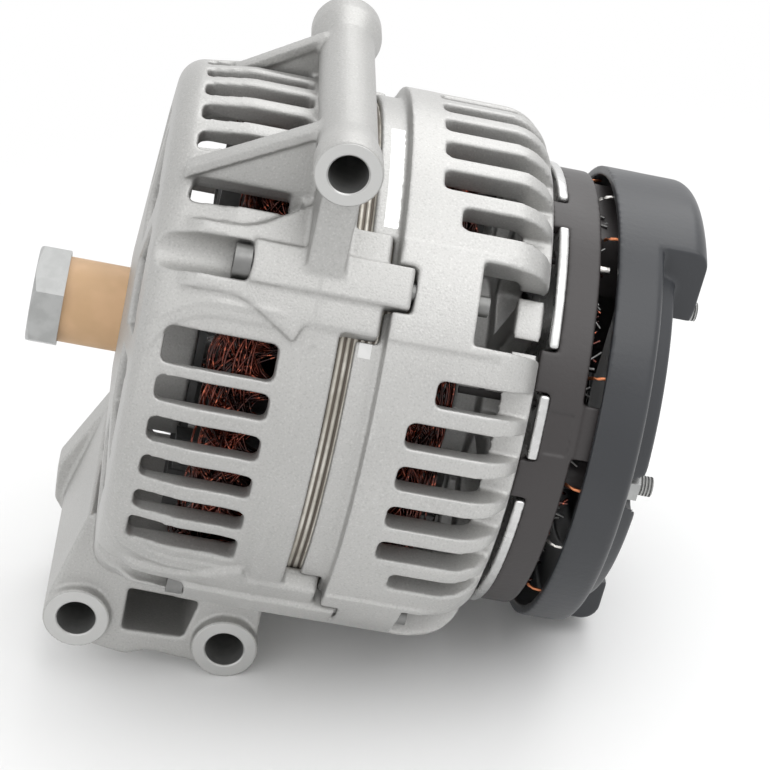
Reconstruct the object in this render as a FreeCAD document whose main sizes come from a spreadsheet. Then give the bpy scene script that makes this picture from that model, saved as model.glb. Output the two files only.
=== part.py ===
import FreeCAD, Part
import math
import os
from types import SimpleNamespace

import Sketcher
from FreeCAD import Placement, Rotation, Vector

# Vehicle alternator without its pulley. The shaft lies along X with the pulley end at -X, the three
# mounting holes run along Y, and +Z is up. The origin is on the shaft axis, in the middle of the seat
# that the pulley goes on. Lengths are in mm, angles in degrees; a "Round" is a radius about the shaft.

doc = FreeCAD.newDocument("alternator")

driving = {
    # pulley end of the shaft: nut, transport sleeve, thrust collar
    "sleeveLong": 15.2, "sleeveRound": 11.0, "seatRound": 8.5, "threadRound": 8.0,
    "nutFlats": 24.0, "nutThick": 8.0, "nutBevel": 1.2, "tipInset": 1.0,
    "collarThick": 2.0, "collarRound": 13.2, "collarNeckRound": 11.4,
    # clearances: pieces seated on each other, bolts in holes, moving pieces beside still ones
    "seatGap": 0.04, "boltGap": 0.25,
    # drive end bracket: a cast bowl with slots all round and a bearing hub
    "bowlFront": 7.5, "bowlWall": 5.6, "faceWall": 4.0, "bowlRound": 68.6,
    "cornerDepth": 2.7, "faceRound": 52.0, "flangeStep": 1.0, "flangeLong": 9.0, "bowlRear": 57.1,
    "slotWide": 6.3, "slotPitch": 9.0, "slotFront": 17.6, "slotRear": 44.0, "slotReach": 12.6,
    "slotCorner": 1.6, "tallSlotAngle": 22.5, "tallSlotWide": 8.8, "strutSlotAngle": 54.8,
    "shortSlotFront": 81.7,
    "hubRound": 29.0, "faceWindows": 10, "windowInner": 33.0, "windowOuter": 53.0,
    "faceRib": 6.0, "hubBore": 14.2,
    # through bolts and the bosses round them
    "boltAngle": 41.2, "boltInset": 1.3, "boltRound": 2.5, "boltHeadRound": 4.2, "boltHeadLong": 4.0,
    "boltHeadX": 30.0, "boltEnd": 90.5, "bossSpan": 20.4, "bossStep": 1.7, "bossDepth": 6.8,
    "bossFront": 11.8, "bossRear": 66.0, "hoodHalf": 8.2, "hoodRear": 33.0, "shoulderHalf": 16.8,
    "fingerSpan": 8.2, "fingerStep": 3.0, "fingerRear": 72.0,
    "pocketFront": 9.0, "pocketRound": 4.7,
    # upper mounting tube
    "tubeX": 50.9, "tubeRise": 5.2, "tubeNear": 58.0, "tubeFar": 34.0, "tubeRound": 7.0,
    "tubeHole": 4.65, "tubeNearBoss": 8.05, "tubeFarBoss": 9.05, "tubeBossLong": 7.0, "tubeFlareLong": 7.5,
    "saddleWide": 9.0, "strutFrontX": 15.5, "strutRise": 3.2, "strutThick": 4.0, "nearStrutY": 36.5,
    "farStrutY": 16.0, "webThick": 2.6,
    # lower mounting ears and the foot that joins them
    "earNear": 32.0, "earLong": 68.5, "earRound": 8.8, "earHole": 5.05, "frontEarX": 10.0,
    "frontEarDrop": 6.4, "rearEarX": 49.5, "rearEarDrop": 8.4, "footInset": 3.0,
    "footWeb": 4.0, "armThick": 10.0, "armReach": 12.0,
    # stator
    "stackFront": 45.5, "stackLong": 30.0, "stackRound": 64.4, "stackBore": 50.3, "statorSlots": 36,
    "statorSlotDeep": 9.0, "statorSlotWide": 4.2, "linerGap": 0.25,
    "frontHeadLong": 18.0, "rearHeadLong": 13.5, "headInner": 52.2, "headOuter": 61.0,
    # slip ring end bracket
    "lipFront": 61.2, "lipStep": 2.2, "shellFront": 68.0, "shellStep": 1.2, "shellRear": 106.0,
    "shellWall": 6.6, "shellCorner": 12.0, "endWall": 7.0, "endRound": 61.0,
    "rearSlotFront": 76.7, "rearHub": 24.5, "rearHubFront": 92.5, "endWindows": 9,
    "endWindowInner": 27.5, "endWindowOuter": 55.5, "endRib": 7.0, "cornerWindowFront": 88.0,
    "cornerWindowSpan": 16.8, "notchGap": 0.6,
    # bearings
    "frontBearingRound": 23.5, "frontBearingLong": 14.0, "frontBearingX": 12.8,
    "rearBearingRound": 20.0, "rearBearingLong": 12.0, "raceWall": 3.2, "ballGap": 0.06,
    "frontBalls": 7, "rearBalls": 8, "grooveDeep": 0.6, "cageHalf": 1.1,
    "retainerThick": 2.0, "retainerScrews": 4, "rearSleeveWall": 1.5,
    # rotor
    "rotorRound": 49.8, "clawCount": 6, "clawPlate": 10.0, "clawFront": 36.5, "clawRear": 84.5,
    "clawRootWide": 28.0, "clawTipWide": 10.0, "clawTipThick": 4.0, "clawRootThick": 10.0,
    "coreRound": 24.0, "shaftRound": 10.0, "bobbinWall": 1.6, "coilRound": 37.5,
    "fanPlate": 1.5, "fanRound": 49.0, "frontBladeLong": 9.0, "rearBladeLong": 6.0, "bladeThick": 1.5,
    "frontBlades": 11, "rearBlades": 10, "bladeInner": 31.0,
    # slip rings and brushes
    "slipRound": 7.9, "slipWide": 5.6, "slipFront": 113.6, "slipPitch": 8.6, "slipWall": 1.3,
    "tailRound": 5.4, "tailEnd": 130.0, "brushWide": 4.6, "brushDeep": 6.4, "brushLong": 15.0,
    "brushGap": 0.15, "springRound": 1.7, "springWire": 0.35, "springTurns": 6,
    "holderFront": 111.6, "holderLong": 18.4, "holderDeep": 13.0, "holderTop": 37.0,
    "regulatorDeep": 34.0, "regulatorFront": 119.4, "regulatorLong": 12.2, "regulatorTall": 15.0,
    # rectifier and terminals behind the slip ring end bracket
    "sinkFront": 107.7, "sinkThick": 2.8, "sinkRound": 58.2, "sinkInner": 27.0, "sinkTabs": 5,
    "ringLong": 8.3, "ringRound": 57.2, "ringWall": 3.0, "ringFloor": 1.8, "ringInner": 43.5,
    "plusSinkFront": 113.6, "plusSinkThick": 2.5, "plusSinkRound": 42.6, "plusSinkSpan": 296.0,
    "diodeRound": 5.6, "diodeLong": 5.4, "diodeRing": 36.0, "diodeLead": 0.7, "diodeLeadLong": 3.6,
    "diodePitch": 24.0,
    "leadRing": 53.1, "leadRound": 0.9, "leadEnd": 121.8, "tabSpan": 10.2, "tabLong": 4.2,
    "extraTabAngle": 31.2, "bridgeAngle": 18.0, "bridgeSpan": 13.6, "panelAngle": 16.7, "panelSpan": 11.0,
    "panelDeep": 0.7,
    # rear cover
    "coverFront": 122.6, "coverSkirt": 11.7, "coverRound": 59.6, "coverWall": 2.4,
    "coverFace": 139.0, "plateauRound": 52.0, "domeInner": 38.0, "plugRear": 146.0, "plugLow": 36.5,
    "plugHalf": 22.0, "lowBlockRear": 147.0, "lowBlockHalf": 20.0, "lowBlockTop": 44.0,
    "coverFillet": 2.0, "coverStudRing": 47.0, "coverStudRound": 2.5, "coverStudAngle": 3.0,
    "coverStudFront": 103.0, "coverStudRear": 142.0, "coverNutThick": 4.0, "coverNutFlats": 8.0,
    "nutRecess": 6.7, "plusStudY": 5.0, "plusStudZ": 27.0, "plusStudRound": 2.5, "plusStudSeat": 3.0,
    "plusStudHead": 3.0, "plusStudRear": 153.5, "plusNutFlats": 10.0, "plusNutThick": 4.0,
}

sheet = doc.addObject("Spreadsheet::Sheet", "Sizes")
for row, (alias, number) in enumerate(driving.items(), start=1):
    sheet.set("A%d" % row, alias)
    sheet.set("B%d" % row, str(number))
    sheet.setAlias("B%d" % row, alias)
doc.recompute()


class Dim:
    """A size that knows both its number and the sheet expression that it comes from."""

    def __init__(self, text, number):
        self.text = text
        self.number = number

    def __add__(self, other):
        other = dim(other)
        return Dim("(%s + %s)" % (self.text, other.text), self.number + other.number)

    def __sub__(self, other):
        other = dim(other)
        return Dim("(%s - %s)" % (self.text, other.text), self.number - other.number)

    def __mul__(self, other):
        other = dim(other)
        return Dim("(%s * %s)" % (self.text, other.text), self.number * other.number)

    def __truediv__(self, other):
        other = dim(other)
        return Dim("(%s / %s)" % (self.text, other.text), self.number / other.number)

    def __neg__(self):
        return Dim("(0 - %s)" % self.text, -self.number)

    def __radd__(self, other):
        return dim(other) + self

    def __rsub__(self, other):
        return dim(other) - self

    def __rmul__(self, other):
        return dim(other) * self

    def __rtruediv__(self, other):
        return dim(other) / self


def dim(size):
    return size if isinstance(size, Dim) else Dim(repr(size), size)


def sine(angle):
    return Dim("sin(%s)" % dim(angle).text, math.sin(math.radians(dim(angle).number)))


def cosine(angle):
    return Dim("cos(%s)" % dim(angle).text, math.cos(math.radians(dim(angle).number)))


def tangent(angle):
    return sine(angle) / cosine(angle)


def root(square):
    return Dim("sqrt(%s)" % square.text, math.sqrt(square.number))


size = SimpleNamespace(**{alias: Dim("Sizes." + alias, number) for alias, number in driving.items()})

# sizes that follow the bowl's outside, so that everything on it goes along when it changes
size.flangeRound = size.bowlRound + size.flangeStep
size.slotFloor = size.bowlRound - size.slotReach
size.boltRing = size.bowlRound - size.boltInset
size.bossRound = size.bowlRound + size.bossStep
size.bossInner = size.bowlRound - size.bossDepth
size.fingerRound = size.bowlRound + size.fingerStep
size.tubeZ = size.bowlRound + size.tubeRise
size.frontEarZ = size.bowlRound + size.frontEarDrop
size.rearEarZ = size.bowlRound + size.rearEarDrop
size.lipRound = size.bowlRound - size.lipStep
size.shellRound = size.bowlRound + size.shellStep


def bind(thing, **sizes):
    """Tie properties of an object to sheet expressions."""
    for name, value in sizes.items():
        thing.setExpression(name, dim(value).text)


def place(thing, x=0.0, y=0.0, z=0.0, axis=(0, 0, 1), angle=0.0):
    """Turn an object about an axis and put its base point at x, y, z."""
    spot = [dim(x), dim(y), dim(z)]
    base = Vector(*(part.number for part in spot))
    thing.Placement = Placement(base, Rotation(Vector(*axis), dim(angle).number))
    for letter, part in zip("xyz", spot):
        thing.setExpression("Placement.Base." + letter, part.text)
    if isinstance(angle, Dim):
        thing.setExpression("Placement.Rotation.Angle", angle.text)
    return thing


# outlines, and the solids made from them

def pin(sketch, geometry, point, x, y):
    """Hold a point of the sketch at x, y."""
    for kind, value in (("DistanceX", dim(x)), ("DistanceY", dim(y))):
        index = sketch.addConstraint(Sketcher.Constraint(kind, -1, 1, geometry, point, value.number))
        if "Sizes" in value.text:
            sketch.setExpression("Constraints[%d]" % index, value.text)


def outline(sketch, corners):
    """A closed outline of straight edges. A corner is x, y or x, y, radius for a rounded one."""
    spots = [Vector(dim(corner[0]).number, dim(corner[1]).number, 0) for corner in corners]
    count = len(corners)
    starts, ends, arcs = [], [], {}
    for i, corner in enumerate(corners):
        before, here, after = spots[i - 1], spots[i], spots[(i + 1) % count]
        if len(corner) == 2:
            starts.append(here)
            ends.append(here)
            continue
        radius = dim(corner[2]).number
        towards, away = (before - here).normalize(), (after - here).normalize()
        half = towards.getAngle(away) / 2
        middle = here + (towards + away).normalize() * (radius / math.sin(half))
        ends.append(here + towards * (radius / math.tan(half)))
        starts.append(here + away * (radius / math.tan(half)))
        arcs[i] = Part.Arc(ends[i], middle + (here - middle).normalize() * radius, starts[i])
    lines = [sketch.addGeometry(Part.LineSegment(starts[i], ends[(i + 1) % count]), False)
             for i in range(count)]
    for i, corner in enumerate(corners):
        last, line = lines[i - 1], lines[i]
        if i not in arcs:
            sketch.addConstraint(Sketcher.Constraint("Coincident", last, 2, line, 1))
            pin(sketch, line, 1, corner[0], corner[1])
            continue
        arc = sketch.addGeometry(arcs[i], False)
        first = 1 if sketch.getPoint(arc, 1).distanceToPoint(ends[i]) < 1e-6 else 2
        sketch.addConstraint(Sketcher.Constraint("Tangent", last, 2, arc, first))
        sketch.addConstraint(Sketcher.Constraint("Tangent", arc, 3 - first, line, 1))
        index = sketch.addConstraint(Sketcher.Constraint("Radius", arc, dim(corner[2]).number))
        sketch.setExpression("Constraints[%d]" % index, dim(corner[2]).text)
        point = sketch.addGeometry(Part.Point(spots[i]), True)
        sketch.addConstraint(Sketcher.Constraint("PointOnObject", point, 1, last))
        sketch.addConstraint(Sketcher.Constraint("PointOnObject", point, 1, line))
        pin(sketch, point, 1, corner[0], corner[1])
    return sketch


def flatOutline(name, corners, x=0.0, y=0.0, z=0.0, axis=(1, 0, 0), angle=0.0):
    """An outline, or a circle given as x, y, radius, in a sketch of its own at a place."""
    sketch = doc.addObject("Sketcher::SketchObject", name + "Outline")
    if isinstance(corners, tuple):
        middle = Vector(dim(corners[0]).number, dim(corners[1]).number, 0)
        radius = dim(corners[2])
        ring = sketch.addGeometry(Part.Circle(middle, Vector(0, 0, 1), radius.number), False)
        pin(sketch, ring, 3, corners[0], corners[1])
        index = sketch.addConstraint(Sketcher.Constraint("Radius", ring, radius.number))
        sketch.setExpression("Constraints[%d]" % index, radius.text)
    else:
        outline(sketch, corners)
    return place(sketch, x, y, z, axis, angle)


def extrusion(name, sketch, direction, long):
    made = doc.addObject("Part::Extrusion", name)
    made.Base = sketch
    made.DirMode = "Custom"
    made.Dir = Vector(*direction)
    made.Solid = True
    bind(made, LengthFwd=long)
    return made


def alongY(name, corners, near, far):
    """A prism with an outline of x and z, from y = near to y = far."""
    sketch = flatOutline(name, corners, y=near, angle=90.0)
    return extrusion(name, sketch, (0, 1, 0), dim(far) - near)


def alongX(name, corners, front, rear):
    """A prism with an outline of y and z, from x = front to x = rear."""
    sketch = flatOutline(name, corners, x=front, axis=(1, 1, 1), angle=120.0)
    return extrusion(name, sketch, (1, 0, 0), dim(rear) - front)


def sector(name, corners, angle, span):
    """A solid that follows an outline of x and radius over a span of angle round the shaft."""
    sketch = flatOutline(name, corners, angle=180 - dim(angle))
    made = doc.addObject("Part::Revolution", name)
    made.Source = sketch
    made.Axis = Vector(1, 0, 0)
    made.Base = Vector(0, 0, 0)
    made.Solid = True
    made.Symmetric = True
    bind(made, Angle=span)
    return made


def turned(name, corners):
    """A body turned about the shaft axis; corners are x, radius[, rounding]."""
    body = doc.addObject("PartDesign::Body", name + "Turning")
    sketch = body.newObject("Sketcher::SketchObject", name + "Profile")
    flat = next(item for item in body.Origin.OriginFeatures if item.Role == "XY_Plane")
    sketch.AttachmentSupport = (flat, [""])
    sketch.MapMode = "FlatFace"
    outline(sketch, corners)
    spin = body.newObject("PartDesign::Revolution", name + "Spin")
    spin.Profile = sketch
    spin.ReferenceAxis = (sketch, ["H_Axis"])
    spin.Angle = 360.0
    return body


def ringAt(name, front, rear, inner, outer):
    return turned(name, [(front, inner), (front, outer), (rear, outer), (rear, inner)])


def box(name, x, y, z, long, deep, tall):
    thing = doc.addObject("Part::Box", name)
    bind(thing, Length=long, Width=deep, Height=tall)
    return place(thing, x, y, z)


def rod(name, x, y, z, radius, long, along="x"):
    thing = doc.addObject("Part::Cylinder", name)
    bind(thing, Radius=radius, Height=long)
    axis, angle = {"x": ((0, 1, 0), 90.0), "y": ((1, 0, 0), -90.0), "z": ((0, 0, 1), 0.0)}[along]
    return place(thing, x, y, z, axis, angle)


def flare(name, x, y, z, start, end, long):
    """A cone along Y from one radius to another."""
    thing = doc.addObject("Part::Cone", name)
    bind(thing, Radius1=start, Radius2=end, Height=long)
    return place(thing, x, y, z, (1, 0, 0), -90.0)


def hexagon(name, x, y, z, flats, thick):
    """A hexagonal prism along X."""
    thing = doc.addObject("Part::Prism", name)
    thing.Polygon = 6
    bind(thing, Circumradius=flats / math.sqrt(3.0), Height=thick)
    return place(thing, x, y, z, (0, 1, 0), 90.0)


def fuse(name, things):
    made = doc.addObject("Part::MultiFuse", name)
    made.Shapes = things
    made.Refine = False
    return made


def cut(name, base, tool):
    made = doc.addObject("Part::Cut", name)
    made.Base = base
    made.Tool = tool
    return made


def group(name, things):
    """Pieces kept as one compound, each its own solid."""
    made = doc.addObject("Part::Compound", name)
    made.Links = things
    return made


def repeatRound(name, thing, angles, first=90.0):
    """Copies of a solid turned round the shaft from the angle where it stands to each angle given."""
    thing.recompute(True)
    made = doc.addObject("Part::Feature", name)
    axis = Vector(1, 0, 0)
    copies = [thing.Shape.rotated(Vector(), axis, first - dim(angle).number) for angle in angles]
    made.Shape = Part.makeCompound(copies)
    return made


def around(angle, radius):
    """The y and z of a place round the shaft. Angles count from -Y, the side with the ears, up to +Z."""
    return -(radius * cosine(angle)), radius * sine(angle)


def everyAngle(first, pitch, keep=lambda angle: True):
    """Angles a pitch apart, once round the shaft, that a rule keeps."""
    first, pitch = dim(first).number, dim(pitch).number
    angles = [first + pitch * step for step in range(round(360 / pitch))]
    return [angle for angle in angles if keep((angle + 180) % 360 - 180)]


nodes = {}


def node(name, thing):
    thing.Label = name
    nodes[name] = thing
    return thing


# sizes that follow from the driving ones

boltAngles = [size.boltAngle, 180 - size.boltAngle, 180 + size.boltAngle, 360 - size.boltAngle]
sleeveHalf = size.sleeveLong / 2
stackRear = size.stackFront + size.stackLong
stackSeat = size.stackRound + size.seatGap
bowlInner = size.bowlRound - size.bowlWall
bowlFloor = size.bowlFront + size.cornerDepth + size.faceWall
frontBearingRear = size.frontBearingX + size.frontBearingLong
frontSeat = size.frontBearingRound + size.seatGap
boltHeadRear = size.boltHeadX + size.boltHeadLong
boltHole = size.boltRound + size.boltGap
earFar = size.earLong - size.earNear
shellInner = size.shellRound - size.shellWall
bossEdge = size.bossSpan.number / 2 + math.degrees(size.slotWide.number / 2 / size.bowlRound.number)


def underBoss(angle):
    """Whether a slot at this angle would run into a through bolt's boss."""
    return min(abs(abs(angle) - size.boltAngle.number),
               abs(180 - abs(angle) - size.boltAngle.number)) < bossEdge


def besideBoss(angle):
    """Whether this is the slot next to a boss, on the side away from the tube and the foot."""
    return abs(min(abs(angle), 180 - abs(angle)) - size.tallSlotAngle.number) < 0.1


def besideStrut(angle):
    """Whether this is the slot under the near strut of the tube, between the strut and a boss."""
    return abs(angle - size.strutSlotAngle.number) < size.slotPitch.number / 2


def slotCutter(name, front, rear, wide, floor, toTheRim=False):
    """A block that cuts one air slot, with rounded corners, or open at the rear when it meets the rim."""
    half, corner = wide / 2, size.slotCorner
    ends = [(rear, half), (rear, -half)] if toTheRim else [(rear, half, corner), (rear, -half, corner)]
    sketch = flatOutline(name, [(front, -half, corner), (front, half, corner)] + ends, z=floor)
    return extrusion(name, sketch, (0, 0, 1), size.bowlRound)


# drive end bracket: slotted bowl, bearing hub, bolt bosses, mounting tube, foot and ears

def strut(name, y, foot, head, thick):
    """A sloping rib from the bowl's shoulder up to the tube, with a thin web under it."""
    low, brow = size.bowlRound - 20.0, size.strutRise
    web = alongY(name + "Web", [(foot[0], low), (foot[0], foot[1] - brow), (head[0], head[1] - brow),
                                (size.tubeX, head[1] - brow), (size.tubeX, low)],
                 y - size.webThick / 2, y + size.webThick / 2)
    rib = alongY(name + "Rib", [(foot[0], foot[1] - brow), foot, head, (head[0], head[1] - brow)],
                 y - dim(thick) / 2, y + dim(thick) / 2)
    return [web, rib]


def mountingTube():
    boss = size.tubeBossLong
    saddle = size.saddleWide / 2
    parts = [
        rod("Tube", size.tubeX, -size.tubeNear, size.tubeZ, size.tubeRound, size.tubeNear + size.tubeFar,
            "y"),
        rod("TubeNearBoss", size.tubeX, -size.tubeNear, size.tubeZ, size.tubeNearBoss, boss, "y"),
        rod("TubeFarBoss", size.tubeX, size.tubeFar - boss, size.tubeZ, size.tubeFarBoss, boss, "y"),
        flare("TubeNearFlare", size.tubeX, boss - size.tubeNear, size.tubeZ, size.tubeNearBoss,
              size.tubeRound, size.tubeFlareLong),
        flare("TubeFarFlare", size.tubeX, size.tubeFar - boss - size.tubeFlareLong, size.tubeZ,
              size.tubeRound, size.tubeFarBoss, size.tubeFlareLong),
        box("Saddle", size.tubeX - saddle, boss / 2 - size.tubeNear, size.bowlRound - 28.0,
            size.saddleWide, size.tubeNear + size.tubeFar - boss * 1.5, size.tubeZ - size.bowlRound + 28.0)]
    headX = size.tubeX - size.tubeRound + 1.0
    parts += strut("NearStrut", -size.nearStrutY, (size.strutFrontX, size.bowlRound - 8.6),
                   (headX, size.tubeZ + 2.6), size.strutThick + 1.0)
    parts += strut("FarStrut", size.farStrutY, (size.strutFrontX + 8.5, size.bowlRound - 3.2),
                   (headX, size.tubeZ + 4.8), size.strutThick)
    return parts


def mountingFoot():
    near, far = size.footInset - size.earNear, earFar - size.footInset
    frontX, rearX, frontZ, rearZ = size.frontEarX, size.rearEarX, -size.frontEarZ, -size.rearEarZ
    radius = size.earRound
    body = alongY("Foot", [
        (frontX - 1.5, -size.bowlRound + 24.0), (frontX - radius + 0.6, frontZ + 4.0),
        (frontX - 6.0, frontZ - 6.0), (frontX, frontZ - radius + 0.3),
        (frontX + 14.0, frontZ - radius - 2.0), (frontX + 20.0, frontZ - radius + 0.5),
        (rearX - 2.0, rearZ - radius + 1.0), (rearX + radius - 0.6, rearZ),
        (rearX + 7.2, -size.bowlRound + 16.0)], near, far)
    window = [(frontX + 12.0, -size.bowlRound + 3.6), (rearX - 8.8, -size.bowlRound + 2.8),
              (rearX - 11.2, rearZ - 0.4), (frontX + 12.2, rearZ - 1.0)]
    middle = (near + far) / 2
    hollow = [alongY("FootNearHollow", window, near - 1, middle - size.footWeb / 2),
              alongY("FootFarHollow", window, middle + size.footWeb / 2, far + 1)]
    arm = alongY("FarArm", [
        (size.bowlFront + 1.5, -size.bowlRound + 25.0), (frontX - size.armReach, frontZ + 9.0),
        (frontX - size.armReach + 0.6, frontZ - 1.4), (frontX - 8.4, frontZ - 5.6),
        (frontX + 2.0, frontZ - 8.0), (frontX + 12.0, frontZ + 6.0),
        (frontX + 12.0, -size.bowlRound + 25.0)], earFar - size.armThick, earFar)
    ears = [rod("FrontEar", frontX, -size.earNear, frontZ, radius, size.earLong, "y"),
            rod("RearEar", rearX, -size.earNear, rearZ, radius, size.earLong, "y")]
    return [cut("FootFrame", body, group("FootHollows", hollow)), arm] + ears


def driveEndBracket():
    rim, flange = size.bowlFront + size.cornerDepth, size.bowlRear - size.flangeLong
    bowl = turned("Bowl", [
        (size.bowlFront, size.hubBore), (rim, size.faceRound), (rim + 1.4, size.bowlRound - 2.6, 7.0),
        (rim + 19.0, size.bowlRound), (flange, size.bowlRound), (flange + 1.5, size.flangeRound),
        (size.bowlRear, size.flangeRound), (size.bowlRear, stackSeat), (size.stackFront, stackSeat),
        (size.stackFront, bowlInner), (bowlFloor, bowlInner, 7.0), (bowlFloor - 1.6, size.hubRound),
        (frontBearingRear, size.hubRound), (frontBearingRear, frontSeat),
        (size.frontBearingX, frontSeat), (size.frontBearingX, frontSeat - 4.0),
        (size.frontBearingX - 1.5, frontSeat - 4.0), (size.frontBearingX - 1.5, size.hubBore)])
    slot = slotCutter("AirSlot", size.slotFront, size.slotRear, size.slotWide, size.slotFloor)
    tallSlot = slotCutter("TallSlot", size.slotFront, size.slotRear, size.tallSlotWide, size.slotFloor)
    footEdge = math.degrees(math.asin(size.earNear.number / size.bowlRound.number)) - 1.0
    slots = repeatRound("AirSlots", slot, everyAngle(
        size.slotPitch / 2, size.slotPitch, lambda angle: not (
            underBoss(angle) or besideBoss(angle) or besideStrut(angle) or abs(angle + 90) <= footEdge))
        + [size.strutSlotAngle])
    tallSlots = repeatRound("TallSlots", tallSlot, everyAngle(size.slotPitch / 2, size.slotPitch, besideBoss))
    windowSlope = tangent(180 / size.faceWindows)
    innerHalf = size.windowInner * windowSlope - size.faceRib / 2
    outerHalf = size.windowOuter * windowSlope - size.faceRib / 2
    window = alongX("FaceWindow", [
        (-innerHalf, size.windowInner, 1.0), (innerHalf, size.windowInner, 1.0),
        (outerHalf, size.windowOuter, 2.5), (-outerHalf, size.windowOuter, 2.5)],
        size.bowlFront - 3, bowlFloor + 3)
    windows = repeatRound("FaceWindows", window, everyAngle(0, 360 / size.faceWindows))
    shell = cut("SlottedBowl", bowl, group("BowlOpenings", [slots, tallSlots, windows]))

    inside = turned("Inside", [
        (bowlFloor, size.hubRound + 1), (bowlFloor, bowlInner, 7.0), (size.stackFront, bowlInner),
        (size.stackFront, stackSeat), (size.bowlRear + 20, stackSeat), (size.bowlRear + 20, 5.0),
        (frontBearingRear, 5.0), (frontBearingRear, size.hubRound + 1)])
    upper = cut("UpperLug", fuse("UpperLugWhole", mountingTube()), inside)
    lower = cut("LowerLug", fuse("LowerLugWhole", mountingFoot()), inside)

    band = sector("BossBand", [
        (size.bossFront, size.bossInner), (size.bossFront, size.bowlRound - 6.0, 2.0),
        (size.bossFront + 9.0, size.bowlRound + 0.6, 8.0), (size.slotRear, size.bossRound),
        (size.bossRear, size.bossRound, 1.2), (size.bossRear, stackSeat),
        (size.stackFront, stackSeat), (size.stackFront, size.bossInner)], 90, size.bossSpan * 1.5)
    half = size.bossRound * sine(size.bossSpan / 2)
    sides = [(size.bossFront - 2, size.hoodHalf), (size.hoodRear, size.hoodHalf, 14.0),
             (size.slotRear + 2.5, size.shoulderHalf), (size.slotRear + 4.5, half), (size.bossRear + 2, half)]
    mirrored = [(side[0], -side[1]) + side[2:] for side in reversed(sides)]
    form = extrusion("BossForm", flatOutline("BossForm", sides + mirrored, z=size.bossInner - 8),
                     (0, 0, 1), 30)
    boss = doc.addObject("Part::Common", "BoltBoss")
    boss.Base, boss.Tool = band, form
    finger = sector("BossFinger", [
        (boltHeadRear, size.boltRing - 2.0), (boltHeadRear, size.fingerRound - 0.4),
        (boltHeadRear + 12.0, size.fingerRound), (size.fingerRear, size.fingerRound, 1.2),
        (size.fingerRear, stackSeat), (size.stackFront, stackSeat)], 90, size.fingerSpan)
    pocketLong = boltHeadRear - size.pocketFront
    channel = rod("PocketChannel", size.pocketFront, 0.0, size.boltRing, size.pocketRound, pocketLong)
    mouth = box("PocketMouth", size.pocketFront, -size.pocketRound, size.boltRing, pocketLong,
                size.pocketRound * 2, dim(12.0))
    hole = rod("BoltHole", boltHeadRear - 1, 0.0, size.boltRing, boltHole, size.fingerRear - boltHeadRear + 2)
    whole = fuse("BracketWhole", [shell, upper, lower, repeatRound("BoltBosses", boss, boltAngles),
                                  repeatRound("BossFingers", finger, boltAngles)])
    openings = group("BracketOpenings", [
        repeatRound("HeadPockets", channel, boltAngles), repeatRound("PocketMouths", mouth, boltAngles[:2]),
        repeatRound("BoltHoles", hole, boltAngles),
        rod("TubeHole", size.tubeX, -size.tubeNear - 1, size.tubeZ, size.tubeHole,
            size.tubeNear + size.tubeFar + 2, "y"),
        rod("FrontEarHole", size.frontEarX, -size.earNear - 1, -size.frontEarZ, size.earHole,
            size.earLong + 2, "y"),
        rod("RearEarHole", size.rearEarX, -size.earNear - 1, -size.rearEarZ, size.earHole,
            size.earLong + 2, "y")])
    node("drive_end_bracket", cut("DriveEndBracket", whole, openings))


driveEndBracket()


# slip ring end bracket

studAngles = [size.coverStudAngle + step for step in (0, 120, 240)]
studSpots = [around(angle, size.coverStudRing) for angle in studAngles]
rearSeat = size.rearBearingRound + size.rearSleeveWall + 2 * size.seatGap
rearBearingRear = size.rearHubFront + size.rearBearingLong + 0.1
leadAngles = [size.coverStudAngle + step for step in (20, 60, 140, 180, 260, 300)]


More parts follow.
